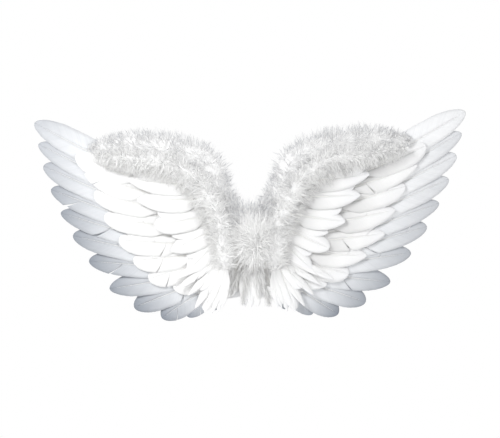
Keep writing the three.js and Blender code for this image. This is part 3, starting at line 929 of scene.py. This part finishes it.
def bent_hairs(roots, ways, lengths, bend, hair, lock, rng, droop=0.0, patches=0.4):
    """Hairs that bend at random. Every fifth one is a lock, which is hairs that cling together."""
    count = len(roots)
    bends = rng.normal(0, bend, (count, 3)) * lengths[:, None] + np.array([0, 0, -droop]) * lengths[:, None]
    thick = np.where(rng.uniform(size=count) < 0.2, rng.uniform(0.6, 1.0, count) * lock, hair)
    return hair_arrays(roots, unit_rows(ways), lengths, thick, bends, rng, patches=patches)


def border_hairs(side, line, count, seed, y, core, reach, low, high, droop, hair=0.4 * MM, lock=2.2 * MM):
    """Hairs round a line on the wing. Angles run from outwards (0) over the front (90) to inwards (180)."""
    rng = np.random.default_rng(seed)
    shares = np.sort(rng.uniform(0, 1, count))
    centre, ahead = even_points(line, side, shares)
    outwards = np.stack([-ahead[:, 2], np.zeros(count), ahead[:, 0]], 1)
    angle = np.radians(rng.uniform(low, high, count))
    size = np.interp(shares, *reach)
    forward = np.array([0, -0.5, 0])
    radial = outwards * np.cos(angle)[:, None] + forward * np.sin(angle)[:, None]
    clump = 0.16 * np.sin(shares * 41 + seed) + 0.13 * np.sin(shares * 97 + 2 * seed) + 0.25
    ways = radial + ahead * (clump + rng.normal(0, 0.2, count))[:, None] + rng.normal(0, 0.07, (count, 3))
    roots = centre + radial * (core * size / size.max())[:, None] * rng.uniform(0.5, 1, count)[:, None]
    roots[:, 1] += y
    lengths = size * rng.uniform(0.6, 1.0, count)
    patches = 0.5 + 0.5 * np.sin(shares * 37 + seed) * np.cos(2.2 * angle + 19 * shares)
    # painted shade: the right wing's down gets more grey patches than the left wing's
    patches = patches * (1.0 if side == "right" else 0.7)
    return bent_hairs(roots, ways, lengths, 0.09, hair, lock, rng, droop, patches)


TRIM_LINE = [(0, 0.1), (0, 0.172), (0.011, 0.258), (0.058, 0.343), (0.089, 0.423), (0.141, 0.464),
             (0.225, 0.497), (0.342, 0.521), (0.465, 0.529), (0.587, 0.532), (0.665, 0.529), (0.71, 0.522)]
SHOULDER_LINE = [(0.018, -0.07), (0.019, 0), (0.024, 0.08), (0.04, 0.17), (0.082, 0.258), (0.125, 0.335),
                 (0.18, 0.388), (0.265, 0.432), (0.36, 0.458), (0.475, 0.472), (0.59, 0.48), (0.68, 0.492)]
FEATHER_DOWN_LINE = [(0.045, -0.04), (0.05, 0.03), (0.07, 0.1), (0.105, 0.18), (0.15, 0.265), (0.2, 0.33),
                     (0.27, 0.38), (0.36, 0.41), (0.46, 0.43), (0.56, 0.45), (0.64, 0.475)]
TRIM_REACH = ([0, 0.3, 0.6, 0.8, 0.93, 1], [20 * MM, 23 * MM, 25 * MM, 23 * MM, 15 * MM, 6 * MM])
SHOULDER_REACH = ([0, 0.3, 0.75, 0.9, 1], [20 * MM, 25 * MM, 23 * MM, 17 * MM, 8 * MM])
FEATHER_DOWN_REACH = ([0, 0.5, 1], [14 * MM, 18 * MM, 14 * MM])

BORDER = dict(line=TRIM_LINE, reach=TRIM_REACH, count=4500, seed=5000, core=6 * MM, low=-95, high=155,
              droop=0.0)
SHOULDER = dict(line=SHOULDER_LINE, reach=SHOULDER_REACH, count=3200, seed=5500, core=8 * MM, low=30,
                high=215, droop=0.1)
FEATHER_DOWN = dict(line=FEATHER_DOWN_LINE, reach=FEATHER_DOWN_REACH, count=750, seed=5800, core=4 * MM,
                    low=120, high=200, droop=0.05, hair=0.35 * MM, lock=1.2 * MM)
DOWN_LINES = {             # what it is made of, its node and how far in front of it, finish, how it moves
    "marabou_border": (BORDER, "marabou_trim", -3 * MM, EDGE_DOWN, over_fold),
    "shoulder_down": (SHOULDER, "covert_feather_row", 6 * MM, WHITE_DOWN, over_fold),
    "feather_down": (FEATHER_DOWN, "covert_feather_row", 8 * MM, TAIL_DOWN, on_the_wing),
}

for side in SIDES:
    for down_name, (values, node_end, forward, finish, carry) in DOWN_LINES.items():
        y = in_front_of(f"{side}_{node_end}", forward)
        seed = values["seed"] + LEFT_SEED[side]
        hairs = border_hairs(side, y=y, **dict(values, seed=seed))
        down = hair_piece(f"{side}_{down_name}", hairs, finish, side, carry=carry)
        if down_name == "marabou_border":
            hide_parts(f"{side}_marabou_trim")
    print(side, "marabou border, shoulder down and grey feather down grown")

# %% [markdown]
# The border needs a body, or the light shines straight through it. The cord and the crowded roots of the
# down make one in real marabou: here it is a soft lumpy roll, built as rings along the same line.

# %% Border core
INSIDE_OUT = [0, 3, 2, 1]  # turns a wall of tube_walls round


def roll_arrays(centres, ahead, widths, depths, rng, sides=20):
    """A closed lumpy roll along a line in the X-Z plane: points, faces, map and the marks of its points."""
    count = len(centres)
    outwards = np.stack([-ahead[:, 2], np.zeros(count), ahead[:, 0]], 1)
    angles = np.arange(sides) * 2 * math.pi / sides
    lumps = rng.normal(0, 0.1, (count, sides)) + rng.normal(0, 0.1, (count, 1))
    lumps = 1 + (lumps + np.roll(lumps, 1, 1) + np.roll(lumps, 1, 0)) / 2
    rings = (centres[:, None] + outwards[:, None] * (widths[:, None] * np.cos(angles) * lumps)[..., None]
             + np.array([0, -1.0, 0]) * (depths[:, None] * np.sin(angles) * lumps)[..., None])
    walls = tube_walls(count, sides)[:, INSIDE_OUT]
    fan = np.array([(0, i, i + 1) for i in range(1, sides - 1)])
    caps = np.concatenate([fan, (fan + (count - 1) * sides)[:, ::-1]])
    mapped = np.stack([np.repeat(length_along(centres) * 14, sides), np.tile(angles, count)], 1)
    marks = {"along": np.full(count * sides, 0.3), "tone": np.full(count * sides, 0.5)}
    return rings.reshape(-1, 3), [walls, caps], mapped, marks


def core_piece(name, centres, ahead, widths, depths, side, seed):
    rng = np.random.default_rng(seed)
    points, faces, mapped, marks = roll_arrays(centres, ahead, widths, depths, rng)
    if side == "left":
        points, faces = mirrored(points, faces)
    return new_piece(name, points, faces, CORE_DOWN, {"vane": mapped}, marks)


CORE_RINGS = 110
BORDER_TAPER = ([0, 0.06, 0.16, 0.3, 0.8, 1], [0.25, 0.45, 0.5, 1, 0.8, 0.15])
SHOULDER_TAPER = ([0, 0.06, 0.8, 1], [0.3, 1, 0.8, 0.15])
CORES = {                  # line, taper, half width, depth, its node and how far in front of it, seed
    "border_core": (TRIM_LINE, BORDER_TAPER, 14 * MM, 5 * MM, "marabou_trim", -2 * MM, 77),
    "shoulder_core": (SHOULDER_LINE, SHOULDER_TAPER, 12 * MM, 6.5 * MM, "covert_feather_row", 3.5 * MM, 78),
}
core_shares = np.linspace(0, 0.97, CORE_RINGS)
for side in SIDES:
    for core_name, (line, narrowing, width, depth, node_end, forward, seed) in CORES.items():
        centres, ahead = even_points(line, side, core_shares)
        centres[:, 1] += in_front_of(f"{side}_{node_end}", forward)
        taper = np.interp(core_shares, *narrowing)
        core = core_piece(f"{side}_{core_name}", centres, ahead, width * taper, depth * taper, side, seed)
        on_the_wing(core, side)
print("border and shoulder cores made")

# %% [markdown]
# The centre is hidden under a tuft of the same down. It stands up in a shallow notch between the wings,
# bursts over the folds lower down, and ends in loose plumes and three short feathers that hang below it.

# %% Centre tuft, tail plumes and hanging feathers
tuft_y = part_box("centre_fluff_tuft")[1][1] - 3 * MM


def tuft_hairs(count, seed, middle, spread, length, flow, thick):
    """Hairs that burst from a flat oval patch; flow is the way that they lean."""
    rng = np.random.default_rng(seed)
    angle = rng.uniform(0, 2 * math.pi, count)
    radius = np.sqrt(rng.uniform(0, 1, count))
    roots = np.stack([
        middle[0] + spread[0] * radius * np.cos(angle),
        middle[1] - spread[1] * (1 - radius**2) * rng.uniform(0, 1, count),
        middle[2] + spread[2] * radius * np.sin(angle),
    ], 1)
    ways = np.stack([radius * np.cos(angle), -0.45 * (1.15 - radius), radius * np.sin(angle)], 1) * 1.1
    ways += np.asarray(flow) + rng.normal(0, 0.28, (count, 3))
    return bent_hairs(roots, ways, rng.uniform(*length, count), 0.2, thick, 5 * thick, rng)


def notch_hairs(count, seed, y, half_width, low, slope, length, thick):
    """Hairs that stand up between the wings, higher towards each wing than in the middle."""
    rng = np.random.default_rng(seed)
    x = rng.uniform(-half_width, half_width, count)
    z = low + slope * np.abs(x) + rng.uniform(-20, 4, count) * MM
    roots = np.stack([x, y - rng.uniform(0, 6, count) * MM, z], 1)
    ways = np.stack([x / (3 * half_width), np.full(count, -0.22), np.ones(count)], 1)
    ways += rng.normal(0, 0.25, (count, 3))
    return bent_hairs(roots, ways, rng.uniform(*length, count), 0.18, thick, 5 * thick, rng)


def plume_hairs(plumes, count, seed, thick):
    """Soft plumes with hairs on both sides: x, z, degrees from straight down, length and width of each."""
    rng = np.random.default_rng(seed)
    every = []
    for x, z, degrees, length, width in plumes:
        t = rng.uniform(0, 1, count) ** 0.8
        swing = math.radians(degrees)
        down = np.array([math.sin(swing), 0, -math.cos(swing)])
        aside = np.array([math.cos(swing), 0, math.sin(swing)])
        roots = np.array([x * MM, tuft_y, z * MM]) + down * (t * length * MM)[:, None]
        roots[:, 1] += rng.uniform(-3, 2, count) * MM
        open_angle = rng.choice([-1, 1], count) * rng.uniform(0.1, 0.55, count)
        ways = down * np.cos(open_angle)[:, None] + aside * np.sin(open_angle)[:, None]
        ways += rng.normal(0, 0.08, (count, 3))
        lengths = width * MM * (0.35 + 1.4 * np.sin(math.pi * t**0.8)) * rng.uniform(0.7, 1.1, count)
        every.append(bent_hairs(roots, ways, lengths, 0.12, thick, 4 * thick, rng))
    shift = np.cumsum([0] + [len(e[0]) for e in every[:-1]])
    triangles = np.concatenate([e[1] + k for e, k in zip(every, shift)])
    joined = [np.concatenate([e[i] for e in every]) for i in (0, 2, 3, 4)]
    return joined[0], triangles, joined[1], joined[2], joined[3]


GREY_PLUMES = [(-11, -8, -17, 52, 9), (-5, -12, -5, 56, 9), (18, -28, 12, 42, 9)]
WHITE_PLUMES = [(-22, -10, -12, 50, 9), (24, -12, 16, 50, 9), (-17, -2, -38, 34, 10), (8, -6, 4, 52, 9),
                (12, -6, 10, 46, 9), (23, -8, 30, 38, 9), (-2, 0, -10, 34, 10)]
upper = notch_hairs(1500, 6100, tuft_y - 4 * MM, 30 * MM, 54 * MM, 0.6, (12 * MM, 20 * MM), 0.42 * MM)
lower = tuft_hairs(1500, 6200, (7 * MM, tuft_y - 10 * MM, 18 * MM), (23 * MM, 7 * MM, 26 * MM),
                   (14 * MM, 24 * MM), (0, -0.1, 0.0), 0.55 * MM)
grey = plume_hairs(GREY_PLUMES, 260, 6300, 0.42 * MM)
white = plume_hairs(WHITE_PLUMES, 220, 6400, 0.45 * MM)
bundles = {"tuft_upper": (upper, EDGE_DOWN), "tuft_lower": (lower, TUFT_DOWN),
           "grey_plumes": (grey, TAIL_DOWN), "white_plumes": (white, WHITE_DOWN)}
for bundle_name, (bundle, finish) in bundles.items():
    for side, half in halves(bundle):
        down = hair_piece(f"centre_{bundle_name}_{side}", half, finish, side, mirror=False)
        if bundle_name == "tuft_lower":
            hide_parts("centre_fluff_tuft")
CENTRE_RINGS = 46
heights = np.linspace(60 * MM, -14 * MM, CENTRE_RINGS)
middle = np.stack([np.zeros(CENTRE_RINGS), np.full(CENTRE_RINGS, tuft_y - 6 * MM), heights], 1)
downwards = np.tile(np.array([0, 0, -1.0]), (CENTRE_RINGS, 1))
taper = np.interp(heights, [-14 * MM, 4 * MM, 50 * MM, 60 * MM], [0.3, 0.9, 1, 0.7])
centre_core = core_piece("centre_core", middle, downwards, 14 * MM * taper, 7 * MM * taper, "right", 79)
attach(centre_core, "centre")

for number in range(1, 4):
    node_name = f"centre_hanging_feather_{number}"
    co = node_points(node_name)
    top = co[co[:, 2] > co[:, 2].max() - 1e-5].mean(0)
    bottom = co[co[:, 2] < co[:, 2].min() + 1e-5].mean(0)
    front = np.array([0.12, -1.0, 0])
    hanging = feather_piece(
        f"hanging_feather_{number}",
        [(top, bottom, front, 14 * MM, 900 + number, dict(pointed=0.6, camber=0.2, lift=0.05, splits=2))],
        "right", FRONT_VANE, "centre")
    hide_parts(node_name)
print("centre tuft, tail wisps and hanging feathers made")

# %% [markdown]
# The panels of each wing are white needle felt, glued and sewn over the wire. The frame already holds
# them as flat plates with the right outline, so each one is copied, cut into small cells and then moved:
# a slight swell between the wires, a ridge where the wire lies under the back panel, and a ripple where
# felt never lies quite flat. The front panel, the centre patch and the back pad are made by the same
# steps.

# %% Felt panels
WIRE_LINE = [(-0.02, 0.14), (0.06, 0.225), (0.078, 0.338), (0.145, 0.428), (0.275, 0.486), (0.46, 0.505),
             (0.6, 0.472), (0.584, 0.338), (0.472, 0.159), (0.323, 0.014), (0.167, -0.097), (0.04, -0.136)]


def cut_copy(name, node_name, cell):
    """A copy of a plate of the frame, cut into a grid of cells, as a bmesh."""
    work = bmesh.new()
    work.from_mesh(frame["nodes"][node_name].data)
    bmesh.ops.remove_doubles(work, verts=work.verts, dist=1e-6)
    bmesh.ops.dissolve_limit(work, angle_limit=math.radians(1), verts=work.verts, edges=work.edges)
    low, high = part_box(node_name)
    for axis in (0, 2):
        for step in range(1, int((high[axis] - low[axis]) / cell) + 1):
            place = Vector((0, 0, 0))
            place[axis] = low[axis] + step * cell
            normal = Vector((0, 0, 0))
            normal[axis] = 1
            parts = work.verts[:] + work.edges[:] + work.faces[:]
            bmesh.ops.bisect_plane(work, geom=parts, plane_co=place, plane_no=normal, dist=1e-7)
    bmesh.ops.triangulate(work, faces=[f for f in work.faces if len(f.verts) > 4])
    mesh = bpy.data.meshes.new(name)
    work.to_mesh(mesh)
    work.free()
    piece = bpy.data.objects.new(name, mesh)
    bpy.context.scene.collection.objects.link(piece)
    return piece


def moved_points(piece, change):
    mesh = piece.data
    co = np.zeros(len(mesh.vertices) * 3, np.float32)
    mesh.vertices.foreach_get("co", co)
    co = change(co.reshape(-1, 3).astype(float))
    mesh.vertices.foreach_set("co", co.astype(np.float32).ravel())
    mesh.polygons.foreach_set("use_smooth", np.ones(len(mesh.polygons), bool))
    mesh.update()


def distance_to(line, points):
    """Distance in the X-Z plane from each point to the nearest sample of a line."""
    gap = points[:, None, [0, 2]] - line[None, :, [0, 2]]
    return np.sqrt((gap**2).sum(2).min(1))


def felt_panel(name, node_name, body, ripple, ridge=None, swell=0.0):
    piece = cut_copy(name, node_name, 5 * MM)

    def change(co):
        wave = np.sin(co[:, 0] * 95 + 2 * np.sin(co[:, 2] * 60)) * np.sin(co[:, 2] * 80 + 1.3)
        co[:, 1] += ripple * wave
        if ridge is not None:
            away = distance_to(ridge, co)
            clear = np.clip((np.abs(co[:, 0]) - fold_x - 9 * MM) / (8 * MM), 0, 1)
            co[:, 1] += 1.5 * MM * clear * np.exp(-((away / (2.6 * MM)) ** 2))
            co[:, 1] += swell * (1 - np.exp(-((away / (14 * MM)) ** 2)))
        return co

    moved_points(piece, change)
    piece.data.materials.append(FELT)
    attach(piece, body)
    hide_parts(node_name)
    return piece


for side in SIDES:
    wire = on_wing(smooth_line(WIRE_LINE, np.linspace(0, 1, 160)), side)
    wire[:, 0] *= SIDES[side]
    body = f"{side}_wing"
    felt_panel(f"{side}_back_panel", f"{body}_back_felt", body, 0.25 * MM, ridge=wire, swell=-0.4 * MM)
    felt_panel(f"{side}_front_panel", f"{body}_front_felt", body, 0.2 * MM)
felt_panel("centre_patch", "front_felt_patch", "centre", 0.1 * MM)

# %% [markdown]
# The back pad is a small felt cushion, flat where it meets the wearer and rounded at its rim.

# %% Back pad
pad_low, pad_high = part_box("back_pad")
pad = cut_copy("wearer_pad", "back_pad", 2 * MM)


def pad_shape(co):
    half_x, half_z = pad_high[0], pad_high[2]
    rim = np.maximum(np.abs(co[:, 0]) / half_x, np.abs(co[:, 2]) / half_z)
    round_off = np.clip((rim - 0.78) / 0.22, 0, 1) ** 2
    channel = np.exp(-(((rim - 0.8) / 0.03) ** 2))
    rear = co[:, 1] > (pad_low[1] + pad_high[1]) / 2
    co[:, 1] -= np.where(rear, 1.3 * MM * round_off + 0.6 * MM * channel, 0)
    return co


moved_points(pad, pad_shape)
pad.data.materials.append(FELT)
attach(pad, "centre")
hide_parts("back_pad")
print("back pad", [round(float(v) * 1000, 1) for v in (*pad_low, *pad_high)], "mm")

# %% [markdown]
# Between the centre and each wing only the felt and the wire cross. Those felt strips bend when a wing
# bends; here each is shaped to run from where it lies at the centre to where it lies on the wing, and is
# tied to neither. One lies in front of the wire and one behind it.

# %% Felt strips over the folds


def fold_strip(name, side, x_in, x_out, y_in, y_out, half_height):
    """A strip from the centre, where it lies at y_in, to the wing panel, where it lies at y_out."""
    columns, rows = 13, 30
    x = np.linspace(x_in, x_out, columns) * SIDES[side]
    z = np.linspace(-half_height, half_height, rows)
    grid_x, grid_z = np.meshgrid(x, z, indexing="ij")
    grid_y = np.interp(np.abs(grid_x), [fold_x - 1 * MM, fold_x + 3 * MM], [y_in, y_out])
    flat = np.stack([grid_x, grid_y, grid_z], -1)
    flat[..., 1] += 0.15 * MM * np.sin(grid_z * 400) * np.sin(grid_x * 300)
    shell = np.array([0, 0.3 * MM, 0])
    points, quads = closed_grid(flat - shell, flat + shell, flip=side == "left")
    strip = new_piece(name, points, [quads], FELT)
    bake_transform(strip)
    return strip


STRIP_HALF = 43 * MM       # half the height of a strip
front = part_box("front_felt_patch")[0][1] - 0.8 * MM
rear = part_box("centre_card")[1][1] + 0.4 * MM
for side in SIDES:
    rear_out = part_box(f"{side}_wing_back_felt")[1][1] + 0.45 * MM
    name = f"{side}_front_fold_strip"
    fold_strip(name, side, fold_x - 6 * MM, fold_x + 8 * MM, front, front, STRIP_HALF)
    name = f"{side}_back_fold_strip"
    fold_strip(name, side, fold_x - 4 * MM, fold_x + 9 * MM, rear, rear_out, STRIP_HALF)
print("four felt strips over the folds")

# %% [markdown]
# The arm loops are one length of woven elastic each, sewn flat on the back of the card at both ends. The
# band lies flat there and turns a little as it leaves, because the loop swings outwards. It is swept
# along a list of chosen points, and it bends between the centre and the swinging loop just past its sewn
# ends.

# %% Arm loops
LOOP_DEPTH = 104 * MM
LOOP_RISE = 28 * MM
LOOP_DROP = 14 * MM
LOOP_SPLAY = math.radians(40)
BAND_WIDTH = 10 * MM
BAND_THICK = 1.2 * MM


def loop_points(edge, sewn):
    """The band's middle line: how far out from the sewn line, and how high."""
    return [
        (0, edge - sewn), (0, edge - sewn * 0.5), (0, edge), (LOOP_DEPTH * 0.015, edge + LOOP_RISE * 0.3),
        (LOOP_DEPTH * 0.12, edge + LOOP_RISE * 0.72), (LOOP_DEPTH * 0.4, edge + LOOP_RISE),
        (LOOP_DEPTH * 0.76, edge + LOOP_RISE * 0.5), (LOOP_DEPTH, edge * 0.5), (LOOP_DEPTH, -edge * 0.45),
        (LOOP_DEPTH * 0.78, -edge - LOOP_DROP * 0.25), (LOOP_DEPTH * 0.42, -edge - LOOP_DROP),
        (LOOP_DEPTH * 0.12, -edge - LOOP_DROP * 0.85), (LOOP_DEPTH * 0.015, -edge - LOOP_DROP * 0.4),
        (0, -edge), (0, -edge + sewn * 0.5), (0, -edge + sewn),
    ]


def band_section():
    """Rounded edges on a thin flat band: how far across and how far out, six points a side."""
    across = np.array([-1, -0.92, -0.5, 0.5, 0.92, 1]) * BAND_WIDTH / 2
    out = np.array([0.15, 0.85, 1, 1, 0.85, 0.15]) * BAND_THICK / 2
    return np.concatenate([across, across[::-1]]), np.concatenate([out, -out[::-1]])


def arm_loop(side):
    tab_low, tab_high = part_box("right_strap_upper_end")
    x0 = (tab_low[0] + tab_high[0]) / 2
    y0 = (tab_low[1] + tab_high[1]) / 2
    sewn = tab_high[2] - tab_low[2]
    steps = 150
    path = smooth_line(loop_points(tab_high[2], sewn), np.linspace(0, 1, steps))
    out, up = path[:, 0], path[:, 1]
    turn = LOOP_SPLAY * np.clip(out / (14 * MM), 0, 1)
    centre = np.stack([x0 + out * math.sin(LOOP_SPLAY), y0 + out * math.cos(LOOP_SPLAY), up], 1)
    ahead = unit_rows(np.gradient(centre, axis=0))
    wide = np.stack([np.cos(turn), -np.sin(turn), np.zeros(steps)], 1)
    wide = unit_rows(wide - ahead * (wide * ahead).sum(1)[:, None])
    normal = np.cross(ahead, wide)
    across, thick = band_section()
    rings = centre[:, None] + wide[:, None] * across[:, None] + normal[:, None] * thick[:, None]
    sides = len(across)
    walls = tube_walls(steps, sides)[:, INSIDE_OUT]
    fan = np.array([(i, i + 1, sides - 2 - i, sides - 1 - i) for i in range(sides // 2 - 1)])
    ends = np.concatenate([fan, (fan + (steps - 1) * sides)[:, ::-1]])
    length = length_along(centre)
    band = np.stack([np.repeat(length, sides), np.tile(across, steps)], 1)
    points, faces = rings.reshape(-1, 3), [walls, ends]
    if side == "left":
        points, faces = mirrored(points, faces)
    loop = new_piece(f"{side}_elastic_loop", points, faces, ELASTIC, {"band": band})
    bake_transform(loop)
    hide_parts(f"{side}_arm_loop", f"{side}_strap_upper_end", f"{side}_strap_lower_end")
    print(loop.name, "is", round(float(length[-1]) * 1000), "mm of elastic")
    return loop


for side in SIDES:
    arm_loop(side)

# %% [markdown]
# Stitches hold the felt round the wire and the elastic on the card. Each is a short rounded bar of thread
# that dips into the cloth at both ends, repeated along a line.

# %% Stitches


def stitch_arrays(starts, ends, out, thick):
    """Short arched bars of thread from each start to each end; out is the way that they stand up."""
    n, rings, sides = len(starts), 5, 5
    t = np.linspace(0, 1, rings)
    arch = np.sin(math.pi * t)
    aside = np.cross(unit_rows(ends - starts), out)
    spine = starts[:, None] + (ends - starts)[:, None] * t[:, None] + out * (0.5 * thick * arch)[:, None]
    radius = thick / 2 * (0.45 + 0.55 * arch)
    angles = np.arange(sides) * 2 * math.pi / sides
    points = (spine[:, :, None] + aside[:, None, None] * (radius[:, None] * np.cos(angles))[..., None]
              + out * (radius[:, None] * np.sin(angles))[..., None])
    walls = tube_walls(rings, sides)
    near = np.array([(0, i + 1, i) for i in range(1, sides - 1)])
    far = np.array([(0, i, i + 1) for i in range(1, sides - 1)]) + (rings - 1) * sides
    caps = np.concatenate([near, far])
    shift = (np.arange(n) * rings * sides)[:, None, None]
    faces = [(walls[None] + shift).reshape(-1, 4), (caps[None] + shift).reshape(-1, 3)]
    mapped = np.tile(np.stack([np.repeat(t * 4 * MM, sides), np.tile(angles * MM, rings)], 1), (n, 1))
    return points.reshape(-1, 3), faces, mapped


def stitch_piece(name, line, out, thick, body):
    """Running stitch along a line of points: every second stretch shows."""
    points, faces, mapped = stitch_arrays(line[0:-1:2], line[1::2], out, thick)
    piece = new_piece(name, points, faces, THREAD, {"band": mapped})
    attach(piece, body)
    return piece


rearwards = np.array([0, 1.0, 0])
for side in SIDES:
    wire = on_wing(smooth_line(WIRE_LINE, np.linspace(0.02, 0.98, 400)), side)
    ahead = unit_rows(np.gradient(wire, axis=0))
    seam = wire + np.stack([-ahead[:, 2], np.zeros(len(wire)), ahead[:, 0]], 1) * 3.4 * MM
    length = length_along(seam)
    count = int(length[-1] / (3 * MM)) // 2 * 2
    even = values_at(np.linspace(0, length[-1], count), length, seam)
    even = even[even[:, 0] > fold_x + 4 * MM]
    even = even[: len(even) // 2 * 2]
    even[:, 1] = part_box(f"{side}_wing_back_felt")[1][1] + 0.35 * MM
    even[:, 0] *= SIDES[side]
    stitch_piece(f"{side}_panel_stitches", even, rearwards, 0.9 * MM, f"{side}_wing")

for side in SIDES:
    for end_name in ("upper", "lower"):
        tab_low, tab_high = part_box(f"{side}_strap_{end_name}_end")
        left, right = tab_low[0] + 1.2 * MM, tab_high[0] - 1.2 * MM
        bottom, top = tab_low[2] + 1.5 * MM, tab_high[2] - 3 * MM
        corners = [(left, bottom), (right, bottom), (right, top), (left, top), (left, bottom), (right, top)]
        line = []
        for (x1, z1), (x2, z2) in zip(corners[:-1], corners[1:]):
            count = max(4, int(math.hypot(x2 - x1, z2 - z1) / (1.5 * MM)) // 2 * 2)
            share = np.linspace(0, 1, count)
            line.append(np.stack([x1 + (x2 - x1) * share, np.full(count, tab_high[1] + 0.2 * MM),
                                  z1 + (z2 - z1) * share], 1))
        stitch_piece(f"{side}_{end_name}_strap_stitches", np.concatenate(line), rearwards, 0.45 * MM,
                     "centre")

SQUARENESS = 0.35          # 1 would make the seam an oval, 0 a rectangle
rim = np.linspace(0, 2 * math.pi, 120)
half_x, half_z = pad_high[0] - 4.2 * MM, pad_high[2] - 5 * MM
ring_x = half_x * np.sign(np.cos(rim)) * np.abs(np.cos(rim)) ** SQUARENESS
ring_z = half_z * np.sign(np.sin(rim)) * np.abs(np.sin(rim)) ** SQUARENESS
seam = np.stack([ring_x, np.full(len(rim), pad_high[1] - 0.7 * MM), ring_z], 1)
length = length_along(seam)
even = values_at(np.linspace(0, length[-1], 80), length, seam)
stitch_piece("pad_stitches", even, rearwards, 0.5 * MM, "centre")
print("stitches sewn")
